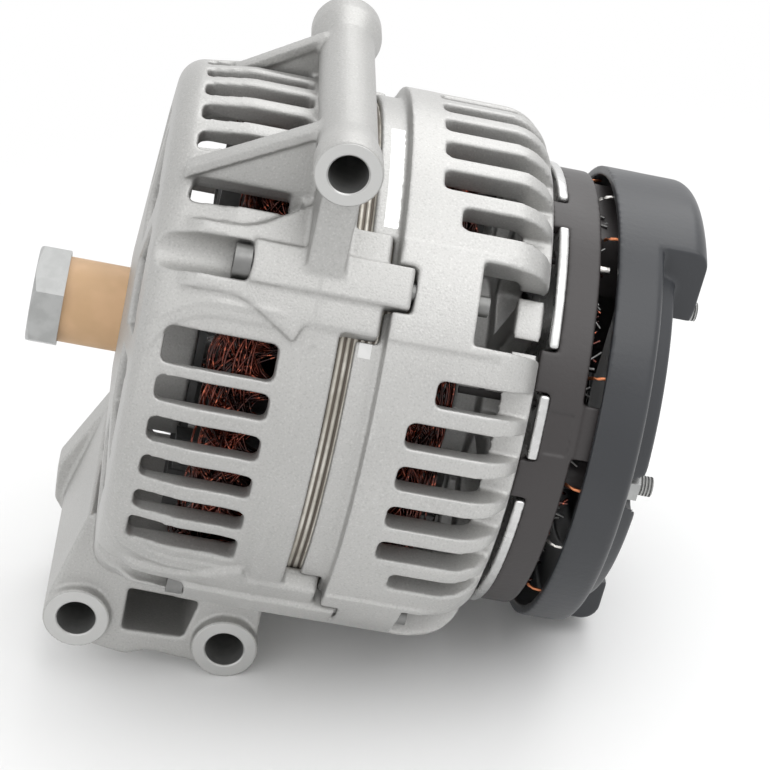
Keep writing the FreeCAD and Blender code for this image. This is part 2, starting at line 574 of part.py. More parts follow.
def rearBracket():
    shell = turned("Shell", [
        (size.lipFront, stackSeat), (size.lipFront, size.lipRound),
        (size.shellFront, size.lipRound), (size.shellFront, size.shellRound),
        (size.shellRear, size.shellRound, size.shellCorner),
        (size.shellRear, size.rearBearingRound - 4.0), (rearBearingRear, size.rearBearingRound - 4.0),
        (rearBearingRear, rearSeat), (size.rearHubFront, rearSeat), (size.rearHubFront, size.rearHub),
        (size.shellRear - size.endWall, size.rearHub), (size.shellRear - size.endWall, shellInner, 6.0),
        (stackRear, shellInner), (stackRear, stackSeat)])
    slotEnd = size.shellRear + 6
    slot = slotCutter("RearSlot", size.rearSlotFront, slotEnd, size.slotWide, size.endRound, True)
    shortSlot = slotCutter("ShortSlot", size.shortSlotFront, slotEnd, size.slotWide, size.endRound, True)
    slots = repeatRound("RearSlots", slot, everyAngle(
        size.slotPitch / 2, size.slotPitch,
        lambda angle: not (underBoss(angle) or besideBoss(angle) or besideStrut(angle))))
    shortSlots = repeatRound("ShortSlots", shortSlot, everyAngle(
        size.slotPitch / 2, size.slotPitch, lambda angle: besideBoss(angle) or besideStrut(angle)))
    windowSlope = tangent(180 / size.endWindows)
    innerHalf = size.endWindowInner * windowSlope - size.endRib / 2
    outerHalf = size.endWindowOuter * windowSlope - size.endRib / 2
    window = alongX("EndWindow", [
        (-innerHalf, size.endWindowInner, 1.0), (innerHalf, size.endWindowInner, 1.0),
        (outerHalf, size.endWindowOuter, 3.0), (-outerHalf, size.endWindowOuter, 3.0)],
        size.shellRear - size.endWall - 3, size.shellRear + 3)
    windows = repeatRound("EndWindows", window, everyAngle(
        size.coverStudAngle + 180 / size.endWindows, 360 / size.endWindows))
    low, high = size.stackRound - 4, size.fingerRound + 4
    notches = fuse("BossNotches", [
        sector("BandNotch", [
            (size.lipFront - 2, low), (size.lipFront - 2, high), (size.bossRear + size.notchGap, high),
            (size.bossRear + size.notchGap, low)], 90, size.bossSpan + 4 * size.notchGap),
        sector("FingerNotch", [
            (size.lipFront, low), (size.lipFront, high), (size.fingerRear + size.notchGap, high),
            (size.fingerRear + size.notchGap, low)], 90, size.fingerSpan + 2 * size.notchGap)])
    shell = cut("SlottedShell", shell, group("ShellOpenings", [slots, shortSlots, windows]))

    start = size.shellFront
    boss = sector("RearBoss", [
        (start, stackSeat), (start, size.shellRound + 0.7, 0.5),
        (size.shellRear - 1.0, size.shellRound + 0.7, size.shellCorner + 2.0),
        (size.shellRear - 1.0, size.bossInner), (stackRear, size.bossInner), (stackRear, stackSeat)],
        90, size.bossSpan)
    posts = [rod("StudPost%d" % number, size.shellRear - size.endWall, y, z, size.coverStudRound + 2.6,
                 size.sinkFront - size.shellRear + size.endWall) for number, (y, z) in enumerate(studSpots)]
    whole = fuse("ShellWhole", [shell, repeatRound("RearBosses", boss, boltAngles)] + posts)
    window = sector("CornerWindow", [
        (size.cornerWindowFront, size.bossInner - 4.8), (size.cornerWindowFront, size.fingerRound + 4),
        (size.shellRear + 4, size.fingerRound + 4), (size.shellRear + 4, size.bossInner - 4.8)],
        90, size.cornerWindowSpan)
    thread = rod("BoltThread", size.fingerRear - 2, 0.0, size.boltRing, size.boltRound + size.seatGap,
                 size.cornerWindowFront - size.fingerRear + 6)
    studHoles = [rod("StudHole%d" % number, size.coverStudFront, y, z, size.coverStudRound + size.seatGap,
                     size.sinkFront - size.coverStudFront + 1) for number, (y, z) in enumerate(studSpots)]
    node("rear_bracket", cut("RearBracket", whole, group("ShellCuts", [
        repeatRound("CornerWindows", window, boltAngles), repeatRound("BoltThreads", thread, boltAngles),
        repeatRound("Notches", notches, boltAngles)]
        + studHoles)))


# stator: slotted stack of laminations and the winding that passes through it

def stator():
    slot = box("StackSlot", size.stackFront - 1, -(size.statorSlotWide / 2), size.stackBore - 1,
               size.stackLong + 2, size.statorSlotWide, size.statorSlotDeep + 1)
    angles = everyAngle(360 / size.statorSlots / 2, 360 / size.statorSlots)
    blank = ringAt("Stack", size.stackFront, stackRear, size.stackBore, size.stackRound)
    node("stator_core", cut("StatorCore", blank, repeatRound("StackSlots", slot, angles)))

    gap = size.linerGap
    bar = box("SlotBar", size.stackFront - 1, -(size.statorSlotWide / 2 - gap), size.stackBore + 2.2,
              size.stackLong + 2, size.statorSlotWide - 2 * gap, size.statorSlotDeep - 2.2 - gap)
    front = turned("FrontHead", [
        (size.stackFront - size.frontHeadLong, size.headInner, 2.5),
        (size.stackFront - size.frontHeadLong, size.headOuter, 3.5),
        (size.stackFront - gap, size.headOuter), (size.stackFront - gap, size.headInner)])
    rear = turned("RearHead", [
        (stackRear + gap, size.headInner), (stackRear + gap, size.headOuter),
        (stackRear + size.rearHeadLong, size.headOuter, 3.5),
        (stackRear + size.rearHeadLong, size.headInner, 2.5)])
    node("stator_winding", fuse("StatorWinding", [front, rear, repeatRound("SlotBars", bar, angles)]))


# through bolts

def throughBolts():
    shank = rod("BoltShank", size.boltHeadX + 1, 0.0, size.boltRing, size.boltRound,
                size.boltEnd - size.boltHeadX - 1)
    head = rod("BoltHead", size.boltHeadX, 0.0, size.boltRing, size.boltHeadRound, size.boltHeadLong)
    drive = hexagon("BoltDrive", size.boltHeadX - 1, 0.0, size.boltRing, dim(4.0), size.boltHeadLong - 1)
    bolt = cut("ThroughBolt", fuse("BoltBlank", [shank, head]), drive)
    node("through_bolts", repeatRound("ThroughBolts", bolt, boltAngles))


# ball bearings

def bearing(name, front, long, bore, outside, count):
    """A ball bearing along the shaft: outer race, inner race, and the balls with their cage."""
    middle, pitch = front + long / 2, (bore + outside) / 2
    ballRound = (outside - bore) / 2 - size.raceWall + size.grooveDeep
    groove = ballRound + size.ballGap
    track = doc.addObject("Part::Torus", name + "Track")
    bind(track, Radius1=pitch, Radius2=groove)
    place(track, middle, 0.0, 0.0, (0, 1, 0), 90.0)
    outer = cut(name + "Outer", ringAt(name + "OuterBlank", front, front + long, outside - size.raceWall,
                                       outside), track)
    track = doc.addObject("Part::Torus", name + "InnerTrack")
    bind(track, Radius1=pitch, Radius2=groove)
    place(track, middle, 0.0, 0.0, (0, 1, 0), 90.0)
    inner = cut(name + "Inner", ringAt(name + "InnerBlank", front, front + long, bore,
                                       bore + size.raceWall), track)
    ball = doc.addObject("Part::Sphere", name + "Ball")
    bind(ball, Radius=ballRound)
    place(ball, middle, 0.0, pitch)
    balls = repeatRound(name + "Balls", ball, everyAngle(0, 360 / count))
    half = size.cageHalf
    ring = ringAt(name + "CageBlank", middle - ballRound - 0.8, middle - ballRound * 0.3,
                  pitch - half, pitch + half)
    seat = doc.addObject("Part::Sphere", name + "CageSeat")
    bind(seat, Radius=groove)
    place(seat, middle, 0.0, pitch)
    cage = cut(name + "Cage", ring, repeatRound(name + "CageSeats", seat, everyAngle(0, 360 / count)))
    return outer, inner, group(name + "BallSet", [balls, cage])


def bearings():
    gap = size.seatGap
    outer, inner, balls = bearing("FrontBearing", size.frontBearingX, size.frontBearingLong,
                                  size.seatRound + gap, size.frontBearingRound, size.frontBalls)
    node("front_bearing_outer_race", outer)
    node("front_bearing_inner_race", inner)
    node("front_bearing_balls", balls)
    outer, inner, balls = bearing("RearBearing", size.rearHubFront, size.rearBearingLong,
                                  size.seatRound + gap, size.rearBearingRound, size.rearBalls)
    node("rear_bearing_outer_race", outer)
    node("rear_bearing_inner_race", inner)
    node("rear_bearing_balls", balls)
    node("rear_bearing_sleeve", ringAt(
        "RearBearingSleeve", size.rearHubFront, size.rearHubFront + size.rearBearingLong,
        size.rearBearingRound + gap, size.rearBearingRound + gap + size.rearSleeveWall))
    rear = frontBearingRear + size.retainerThick
    plate = ringAt("RetainerPlate", frontBearingRear, rear, frontSeat - 4.0, size.hubRound - 0.4)
    screwRing = (size.hubRound + size.frontBearingRound) / 2 + 0.1
    screw = fuse("RetainerScrew", [
        rod("RetainerShank", frontBearingRear - 5, 0.0, screwRing, dim(1.5), size.retainerThick + 5.5),
        rod("RetainerHead", rear, 0.0, screwRing, dim(2.6), dim(1.8))])
    hole = rod("RetainerHole", frontBearingRear - 5, 0.0, screwRing, dim(1.5) + gap, size.retainerThick + 6)
    angles = everyAngle(45, 360 / size.retainerScrews)
    holes = repeatRound("RetainerHoles", hole, angles)
    node("bearing_retainer", cut("BearingRetainer", plate, holes))
    node("retainer_screws", repeatRound("RetainerScrews", screw, angles))
    bracket = nodes["drive_end_bracket"]
    bracket.Label = "BracketBlank"
    node("drive_end_bracket", cut("DriveEndBracketDrilled", bracket, holes))


# rotor

def rotor():
    gap = size.seatGap
    tip = -sleeveHalf - size.nutThick + size.tipInset
    node("rotor_shaft", turned("RotorShaft", [
        (tip, 0.0), (tip, size.threadRound), (-sleeveHalf, size.threadRound), (-sleeveHalf, size.seatRound),
        (frontBearingRear, size.seatRound), (frontBearingRear, size.shaftRound),
        (size.rearHubFront, size.shaftRound), (size.rearHubFront, size.seatRound),
        (rearBearingRear, size.seatRound), (rearBearingRear, size.tailRound),
        (size.tailEnd, size.tailRound), (size.tailEnd, 0.0)]))
    face = -sleeveHalf - size.nutThick
    nut = cut("NutHole", hexagon("NutBlank", face, 0.0, 0.0, size.nutFlats, size.nutThick),
              rod("NutThread", face - 1, 0.0, 0.0, size.threadRound + gap, size.nutThick + 2))
    corner = size.nutFlats / math.sqrt(3.0)
    bevel = turned("NutBevel", [
        (face, 0.0), (face, size.nutFlats / 2 - 0.3), (face + size.nutBevel, corner + 0.2),
        (-sleeveHalf, corner + 0.2), (-sleeveHalf, 0.0)])
    shaped = doc.addObject("Part::Common", "PulleyNut")
    shaped.Base, shaped.Tool = nut, bevel
    node("pulley_nut", shaped)
    node("shaft_sleeve", ringAt("ShaftSleeve", -sleeveHalf, sleeveHalf, size.seatRound + gap,
                                size.sleeveRound))
    node("thrust_collar", turned("ThrustCollar", [
        (sleeveHalf, size.seatRound + gap), (sleeveHalf, size.collarRound),
        (sleeveHalf + size.collarThick, size.collarRound),
        (sleeveHalf + size.collarThick, size.collarNeckRound),
        (size.frontBearingX, size.collarNeckRound), (size.frontBearingX, size.seatRound + gap)]))

    middle = (size.clawFront + size.clawRear) / 2
    plateRear = size.clawFront + size.clawPlate
    tipX = size.clawRear - size.clawPlate + 4.0
    reach = size.rotorRound
    claw = alongY("ClawSide", [
        (size.clawFront, size.coreRound + 3), (size.clawFront, reach - 2.5),
        (size.clawFront + 5.5, reach + 3), (tipX, reach + 3), (tipX, reach - size.clawTipThick),
        (plateRear, reach - size.clawRootThick),
        (plateRear, size.coreRound + 3)], -(size.clawRootWide / 2), size.clawRootWide / 2)
    taper = extrusion("ClawTaper", flatOutline("ClawTaper", [
        (size.clawFront - 1, -(size.clawRootWide / 2)), (plateRear, -(size.clawRootWide / 2)),
        (tipX + 1, -(size.clawTipWide / 2)), (tipX + 1, size.clawTipWide / 2),
        (plateRear, size.clawRootWide / 2), (size.clawFront - 1, size.clawRootWide / 2)], z=10.0),
        (0, 0, 1), size.rotorRound + 10)
    shaped = doc.addObject("Part::Common", "ClawShaped")
    shaped.Base, shaped.Tool = claw, taper
    rounding = rod("ClawRounding", size.clawFront - 2, 0.0, 0.0, reach, tipX - size.clawFront + 6)
    rounded = doc.addObject("Part::Common", "ClawRounded")
    rounded.Base, rounded.Tool = shaped, rounding
    hub = turned("ClawHub", [
        (size.clawFront, size.shaftRound + gap), (size.clawFront, size.coreRound + 10),
        (plateRear, size.coreRound + 10), (plateRear, size.coreRound),
        (middle - gap, size.coreRound), (middle - gap, size.shaftRound + gap)])
    doc.recompute()
    pitch = 360 / size.clawCount
    front = fuse("FrontClaws", [hub, repeatRound("FrontClawSet", rounded, everyAngle(0, pitch))])
    node("claw_pole_front", front)
    front.recompute(True)
    turnedBack = front.Shape.rotated(Vector(), Vector(0, 0, 1), 180)
    turnedBack = turnedBack.rotated(Vector(), Vector(1, 0, 0), pitch.number / 2)
    rear = doc.addObject("Part::Feature", "RearClaws")
    rear.Shape = turnedBack.translated(Vector(2 * middle.number, 0, 0))
    node("claw_pole_rear", rear)

    spoolFront, spoolRear = plateRear + 0.1, size.clawRear - size.clawPlate - 0.1
    core, flange = size.coreRound + 0.1, size.coilRound + 0.6
    node("coil_bobbin", turned("CoilBobbin", [
        (spoolFront, core), (spoolFront, flange), (spoolFront + size.bobbinWall, flange),
        (spoolFront + size.bobbinWall, core + size.bobbinWall),
        (spoolRear - size.bobbinWall, core + size.bobbinWall), (spoolRear - size.bobbinWall, flange),
        (spoolRear, flange), (spoolRear, core)]))
    node("field_coil", ringAt("FieldCoil", spoolFront + size.bobbinWall + gap,
                              spoolRear - size.bobbinWall - gap, core + size.bobbinWall + gap,
                              size.coilRound))


def fan(name, face, long, blades, side):
    """A pressed fan: a plate against the claw poles and curved blades standing off it."""
    plate = ringAt(name + "Plate", face - size.fanPlate if side < 0 else face,
                   face if side < 0 else face + size.fanPlate, size.shaftRound + 0.4, size.fanRound)
    inner, outer, thick = size.bladeInner, size.fanRound - 1, size.bladeThick
    root = face - size.fanPlate - long if side < 0 else face + size.fanPlate - 0.2
    blade = alongX(name + "Blade", [
        (0.0, inner), (6.0, (inner + outer) / 2 - 0.6), (dim(9.5), outer - 1.0), (9.5 + thick, outer - 1.4),
        (6.4 + thick, (inner + outer) / 2 - 1.8), (thick, inner)], root, root + long + 0.2)
    ring = repeatRound(name + "Blades", blade, everyAngle(0, 360 / blades))
    return fuse(name, [plate, ring])


def fans():
    node("front_fan", fan("FrontFan", size.clawFront - 0.1, size.frontBladeLong, size.frontBlades, -1))
    node("rear_fan", fan("RearFan", size.clawRear + 0.1, size.rearBladeLong, size.rearBlades, 1))


# slip rings, brushes and regulator

slipStarts = [size.slipFront, size.slipFront + size.slipPitch]


def slipRings():
    gap = size.seatGap
    inner = size.slipRound - size.slipWall
    node("slip_ring_insulator", ringAt("SlipRingInsulator", rearBearingRear + 0.2, size.tailEnd - 0.4,
                                       size.tailRound + gap, inner - gap))
    for name, front in zip(("slip_ring_inner", "slip_ring_outer"), slipStarts):
        node(name, ringAt(name + "_band", front, front + size.slipWide, inner, size.slipRound))


def brushGear():
    low = size.slipRound + size.seatGap
    play = size.brushGap
    shafts = []
    for name, front in zip(("brush_negative", "brush_positive"), slipStarts):
        x = front + (size.slipWide - size.brushWide) / 2
        node(name, box(name + "_block", x, -(size.brushDeep / 2), low, size.brushWide, size.brushDeep,
                       size.brushLong))
        shafts.append(box(name + "_shaft", x - play, -(size.brushDeep / 2 + play), low - 1,
                          size.brushWide + 2 * play, size.brushDeep + 2 * play,
                          size.holderTop - size.ringFloor - low + 1))
        coil(name.replace("brush", "brush_spring"), front + size.slipWide / 2, low + size.brushLong + 0.1,
             size.holderTop - size.ringFloor - 0.1)
    holder = box("HolderBlock", size.holderFront, -(size.holderDeep / 2), low + 2.0, size.holderLong,
                 size.holderDeep, size.holderTop - low - 2.0)
    node("brush_holder", cut("BrushHolder", holder, group("BrushShafts", shafts)))
    node("regulator", box("RegulatorBlock", size.regulatorFront, -(size.regulatorDeep / 2),
                          size.holderTop, size.regulatorLong, size.regulatorDeep, size.regulatorTall))


def coil(name, x, low, high):
    """A brush spring: round wire wound along Z between two heights."""
    wire = size.springWire
    helix = doc.addObject("Part::Helix", name + "Line")
    tall = high - low - 2 * wire
    bind(helix, Pitch=tall / size.springTurns, Height=tall, Radius=size.springRound)
    section = doc.addObject("Part::RegularPolygon", name + "Section")
    section.Polygon = 4
    bind(section, Circumradius=wire)
    place(section, size.springRound, 0.0, 0.0, (1, 0, 0), 90.0)
    sweep = doc.addObject("Part::Sweep", name)
    sweep.Sections = [section]
    doc.recompute()
    sweep.Spine = (helix, ["Edge%d" % (number + 1) for number in range(len(helix.Shape.Edges))])
    sweep.Solid = True
    sweep.Frenet = True
    node(name, place(sweep, x, 0.0, low + wire))


# rectifier, connection ring and terminals

diodeSpots = [(126.0 + size.diodePitch.number * step, step % 2) for step in range(12)]


def rectifier():
    gap = size.seatGap
    sinkRear = size.sinkFront + size.sinkThick
    plusRear = size.plusSinkFront + size.plusSinkThick
    minus = [around(angle, size.diodeRing) for angle, kind in diodeSpots if not kind]
    plus = [around(angle, size.diodeRing) for angle, kind in diodeSpots if kind]

    plate = ringAt("MinusSink", size.sinkFront, sinkRear, size.sinkInner, size.sinkRound)
    tabAngles = [4.0 + 360 / size.sinkTabs.number * step for step in range(round(size.sinkTabs.number))]
    tabAngles.append(size.extraTabAngle)
    notch = sector("SinkNotch", [
        (size.sinkFront - 1, size.ringRound - size.ringWall - 0.3), (size.sinkFront - 1, size.sinkRound + 2),
        (sinkRear + 1, size.sinkRound + 2), (sinkRear + 1, size.ringRound - size.ringWall - 0.3)],
        90, size.tabSpan + 1.0)
    holes = [repeatRound("SinkNotches", notch, tabAngles)]
    holes += [rod("MinusSeat%d" % n, size.sinkFront - 1, y, z, size.diodeRound + gap, size.sinkThick + 2)
              for n, (y, z) in enumerate(minus)]
    holes += [rod("StudPass%d" % n, size.sinkFront - 1, y, z, size.coverStudRound + size.boltGap,
                  size.sinkThick + 2) for n, (y, z) in enumerate(studSpots)]
    leadPass = rod("LeadPass", size.sinkFront - 1, 0.0, size.leadRing, size.leadRound + 0.8,
                   size.sinkThick + 2)
    holes.append(repeatRound("LeadPasses", leadPass, leadAngles))
    node("negative_heat_sink", cut("NegativeHeatSink", plate, group("MinusSinkHoles", holes)))

    plate = sector("PlusSink", [
        (size.plusSinkFront, size.sinkInner), (size.plusSinkFront, size.plusSinkRound),
        (plusRear, size.plusSinkRound), (plusRear, size.sinkInner)], -90, size.plusSinkSpan)
    holes = [rod("PlusSeat%d" % n, size.plusSinkFront - 1, y, z, size.diodeRound + gap,
                 size.plusSinkThick + 2) for n, (y, z) in enumerate(plus)]
    holes += [rod("MinusPass%d" % n, size.plusSinkFront - 1, y, z, size.diodeLead + 1.0,
                  size.plusSinkThick + 2) for n, (y, z) in enumerate(minus)]
    node("positive_heat_sink", cut("PositiveHeatSink", plate, group("PlusSinkHoles", holes)))

    def diodes(name, spots, front):
        made = []
        for n, (y, z) in enumerate(spots):
            made.append(fuse("%sDiode%d" % (name, n), [
                rod("%sCup%d" % (name, n), front, y, z, size.diodeRound, size.diodeLong),
                rod("%sPin%d" % (name, n), front + size.diodeLong - 0.2, y, z, size.diodeLead,
                    size.diodeLeadLong)]))
        return group(name + "Diodes", made)

    node("negative_diodes", diodes("Minus", minus, size.sinkFront))
    node("positive_diodes", diodes("Plus", plus, size.plusSinkFront))

    inner, outer = size.ringRound - size.ringWall, size.ringRound
    ringRear = sinkRear + size.ringLong
    ring = turned("ConnectionRing", [
        (sinkRear, size.ringInner), (sinkRear, outer), (ringRear, outer), (ringRear, inner),
        (sinkRear + size.ringFloor, inner), (sinkRear + size.ringFloor, size.ringInner)])
    tab = sector("RingTab", [
        (sinkRear - size.tabLong, inner + 0.1), (sinkRear - size.tabLong, outer),
        (sinkRear + 1, outer), (sinkRear + 1, inner + 0.1)], 90, size.tabSpan)
    shelf = [rod("StudColumn%d" % n, sinkRear, y, z, size.coverStudRound + 1.6, size.coverFront - sinkRear
                 + size.coverSkirt - size.coverWall - 0.1) for n, (y, z) in enumerate(studSpots)]
    bridge = sector("RingBridge", [
        (ringRear - 1, inner + 0.1), (ringRear - 1, outer - 0.5), (size.coverFront + 1.5, outer - 0.5),
        (size.coverFront + 1.5, inner + 0.1)], size.bridgeAngle, size.bridgeSpan)
    whole = fuse("RingWhole", [ring, bridge, repeatRound("RingTabs", tab, tabAngles)] + shelf)
    panel = sector("RingPanel", [
        (sinkRear + 0.4, outer - size.panelDeep), (sinkRear + 0.4, outer + 1), (ringRear - 1.3, outer + 1),
        (ringRear - 1.3, outer - size.panelDeep)], size.panelAngle, size.panelSpan)
    holes = [panel]
    holes += [rod("RingStudPass%d" % n, sinkRear - 1, y, z, size.coverStudRound + size.boltGap,
                 dim(40.0)) for n, (y, z) in enumerate(studSpots)]
    wirePass = rod("WirePass", sinkRear - 1, 0.0, size.leadRing - 0.2, size.leadRound + 0.3,
                   size.ringFloor + 2)
    holes.append(repeatRound("WirePasses", wirePass, leadAngles))
    node("connection_ring", cut("ConnectionRingBored", whole, group("RingHoles", holes)))

    start = stackRear + size.rearHeadLong
    lead = rod("PhaseLead", start, 0.0, size.leadRing - 0.2, size.leadRound, size.leadEnd - start)
    node("phase_leads", repeatRound("PhaseLeads", lead, leadAngles))


# rear cover and the studs that carry it

def rearCover():
    wall, rear = size.coverWall, size.coverFront + size.coverSkirt
    outer = size.coverRound
    shell = turned("CoverShell", [
        (size.coverFront, outer - wall), (size.coverFront, outer), (rear, outer, size.coverFillet),
        (rear, size.plateauRound + 1.5), (size.coverFace, size.plateauRound, 1.5), (size.coverFace, 0.0),
        (size.coverFace - wall, 0.0), (size.coverFace - wall, size.domeInner),
        (rear - wall, size.domeInner + 2.0), (rear - wall, outer - wall)])
    half = size.plugHalf
    plug = alongX("PlugBlock", [(-half, size.plugLow), (-half, outer + 1), (half, outer + 1),
                                (half, size.plugLow)], rear - wall / 2, size.plugRear)
    low = size.lowBlockHalf
    block = alongX("LowBlock", [(-low, -outer - 1), (-low, -size.lowBlockTop), (low, -size.lowBlockTop),
                                (low, -outer - 1)], rear - wall / 2, size.lowBlockRear)
    form = turned("BlockForm", [
        (rear - wall, 0.0), (rear - wall, outer), (size.plugRear, outer, 4.5), (size.plugRear, 0.0)])
    blocks = doc.addObject("Part::Common", "CoverBlocks")
    blocks.Base, blocks.Tool = group("CoverBlockPair", [plug, block]), form
    whole = fuse("CoverWhole", [shell, blocks])
    gap = size.boltGap
    holes = [rod("CoverStudHole%d" % n, rear - wall - 2, y, z, size.coverStudRound + gap, wall + 14)
             for n, (y, z) in enumerate(studSpots)]
    holes += [rod("NutRecess%d" % n, rear, y, z, size.nutRecess, size.plugRear - rear + 1)
              for n, (y, z) in enumerate(studSpots)]
    holes.append(rod("PlusStudHole", size.coverFace - wall - 1, size.plusStudY, size.plusStudZ,
                     size.plusStudSeat + gap, wall + 2))
    socket = box("PlugSocket", size.plugRear - 10.0, -13.0, size.plugLow + 5.0, dim(12.0), dim(26.0),
                 dim(12.0))
    node("rear_cover", cut("RearCover", whole, group("CoverHoles", holes + [socket])))
    pins = [box("PlugPin%d" % n, size.plugRear - 10.0, -9.6 + 6.0 * n, size.plugLow + 10.6, dim(7.5),
                dim(1.2), dim(0.8)) for n in range(4)]
    node("plug_pins", group("PlugPins", pins))

    studs = [rod("CoverStud%d" % n, size.coverStudFront, y, z, size.coverStudRound,
                 size.coverStudRear - size.coverStudFront) for n, (y, z) in enumerate(studSpots)]
    node("cover_studs", group("CoverStuds", studs))
    nuts = [cut("CoverNut%d" % n, hexagon("CoverNutBlank%d" % n, rear, y, z, size.coverNutFlats,
                                          size.coverNutThick),
                rod("CoverNutThread%d" % n, rear - 1, y, z, size.coverStudRound + size.seatGap,
                    size.coverNutThick + 2)) for n, (y, z) in enumerate(studSpots)]
    node("cover_nuts", group("CoverNuts", nuts))

    start = size.coverFace - wall - size.plusStudHead - 0.1
    nutFront = size.coverFace + 0.1
    y, z = size.plusStudY, size.plusStudZ
    node("battery_stud", fuse("BatteryStud", [
        rod("BatteryStudSeat", start, y, z, size.plusStudSeat, nutFront + size.plusNutThick + 0.1 - start),
        rod("BatteryStudShank", start, y, z, size.plusStudRound, size.plusStudRear - start),
        rod("BatteryStudHead", start, y, z, size.plusStudSeat + 2.3, size.plusStudHead)]))
    node("battery_nut", cut("BatteryNut", hexagon("BatteryNutBlank", nutFront, y, z, size.plusNutFlats,
                                                  size.plusNutThick),
                            rod("BatteryNutThread", size.coverFace - 1, y, z, size.plusStudSeat
                                + size.seatGap, size.plusNutThick + 3)))


rearBracket()
stator()
throughBolts()
bearings()
rotor()
fans()
slipRings()
brushGear()
rectifier()
rearCover()
doc.recompute()

for thing in doc.Objects:
    if "Invalid" in thing.State or "Error" in thing.State:
        raise RuntimeError("%s failed: %s" % (thing.Name, thing.State))
os.makedirs("parts", exist_ok=True)
for name, thing in nodes.items():
    if thing.Shape.isNull() or not thing.Shape.isValid():
        raise RuntimeError("%s has no valid shape" % name)
    thing.Shape.exportStep("parts/%s.step" % name)
print(len(nodes), "sub-parts written")
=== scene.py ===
import math

import bpy
import numpy as np
from mathutils import Matrix, Vector


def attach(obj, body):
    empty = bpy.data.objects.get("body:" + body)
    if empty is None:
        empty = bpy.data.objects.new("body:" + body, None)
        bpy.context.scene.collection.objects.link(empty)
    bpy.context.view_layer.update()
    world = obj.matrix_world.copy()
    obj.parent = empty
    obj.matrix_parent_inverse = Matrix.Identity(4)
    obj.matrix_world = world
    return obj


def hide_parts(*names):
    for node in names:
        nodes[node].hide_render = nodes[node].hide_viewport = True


# Vehicle alternator without its pulley. Sizes below are in millimetres in the CAD frame: the shaft lies
# along X with the pulley end at -X, the mounting holes run along Y, and +Z is up. Angles are in degrees
# round the shaft, from -Y up to +Z.

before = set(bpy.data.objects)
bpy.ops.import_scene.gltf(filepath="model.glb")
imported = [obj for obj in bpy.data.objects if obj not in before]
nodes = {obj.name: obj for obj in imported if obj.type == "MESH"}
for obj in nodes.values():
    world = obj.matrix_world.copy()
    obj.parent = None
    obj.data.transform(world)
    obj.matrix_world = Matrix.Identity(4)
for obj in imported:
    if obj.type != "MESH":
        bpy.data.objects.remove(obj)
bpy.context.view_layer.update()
scene = bpy.context.scene
scene.view_settings.view_transform = "Standard"
mm = 0.001
rng = np.random.default_rng(11)
print("frame loaded", len(nodes), "nodes")


# camera, placed as the photograph was taken

cameraLook = {"place": (2.93, -549.8, 287.1), "forward": (0.1198, 0.8747, -0.4695),
              "right": (0.9767, -0.0192, 0.2136), "up": (-0.1779, 0.4841, 0.8567),
              "lens": 112.2, "reach": 20000.0}
cameraData = bpy.data.cameras.new("camera")
cameraData.lens = cameraLook["lens"]
cameraData.clip_end = cameraLook["reach"] * mm
camera = bpy.data.objects.new("camera", cameraData)
scene.collection.objects.link(camera)
right, up, forward = (Vector(cameraLook[key]).normalized() for key in ("right", "up", "forward"))
turn = Matrix((right, up, -forward)).transposed().to_4x4()
camera.matrix_world = Matrix.Translation(Vector(cameraLook["place"]) * mm) @ turn
scene.camera = camera


# helpers for meshes

def makePiece(name, points, faces, material, smooth=True):
    # A piece from an array of points in millimetres and an array of faces.
    mesh = bpy.data.meshes.new(name)
    mesh.from_pydata((np.asarray(points, float) * mm).tolist(), [], np.asarray(faces).tolist())
    mesh.validate()
    mesh.update()
    return finishPiece(name, mesh, material, smooth)


def finishPiece(name, mesh, material, smooth=True, body="housing"):
    # A mesh as an object with one material, riding on a body.
    piece = bpy.data.objects.new(name, mesh)
    scene.collection.objects.link(piece)
    mesh.materials.clear()
    mesh.materials.append(material)
    mesh.polygons.foreach_set("use_smooth", np.full(len(mesh.polygons), smooth))
    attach(piece, body)
    return piece


def gridFaces(rows, columns, closed=True):
    # Quads of a grid of rows and columns of points; closed joins the last column to the first.
    across = columns if closed else columns - 1
    row, column = np.meshgrid(np.arange(rows - 1), np.arange(across), indexing="ij")
    after = (column + 1) % columns
    corners = [row * columns + column, row * columns + after,
               (row + 1) * columns + after, (row + 1) * columns + column]
    return np.stack(corners, -1).reshape(-1, 4)


def tubesAlong(paths, radius, sides=6):
    # Round wires: each path of points carries a circle, turned to stand across the path.
    paths = np.asarray(paths, float)
    ahead = np.gradient(paths, axis=1)
    ahead /= np.linalg.norm(ahead, axis=2, keepdims=True)
    guide = np.where(np.abs(ahead[..., :1]) < 0.9, (1.0, 0.0, 0.0), (0.0, 0.0, 1.0))
    side = np.cross(ahead, guide)
    side /= np.linalg.norm(side, axis=2, keepdims=True)
    over = np.cross(ahead, side)
    angle = np.arange(sides) / sides * 2 * math.pi
    ring = side[:, :, None] * np.cos(angle)[:, None] + over[:, :, None] * np.sin(angle)[:, None]
    points = paths[:, :, None] + ring * radius
    count, steps = paths.shape[:2]
    faces = gridFaces(steps, sides)
    every = (np.arange(count)[:, None, None] * steps * sides + faces).reshape(-1, 4)
    return points.reshape(-1, 3), every


def polar(x, radius, angle):
    # Places round the shaft: y is the radius times the angle's cosine, turned to -Y, and z its sine.
    turned = np.radians(angle)
    return np.stack(np.broadcast_arrays(x, -radius * np.cos(turned), radius * np.sin(turned)), -1)


# shader helpers

def newMaterial(name, color, rough, metal=0.0, coat=0.0):
    # A material, with its node tree and shader at hand for what follows.
    material = bpy.data.materials.new(name)
    material.use_nodes = True
    tree = material.node_tree
    shader = tree.nodes["Principled BSDF"]
    shader.inputs["Base Color"].default_value = (*color, 1)
    shader.inputs["Roughness"].default_value = rough
    shader.inputs["Metallic"].default_value = metal
    shader.inputs["Coat Weight"].default_value = coat
    return material, tree, shader


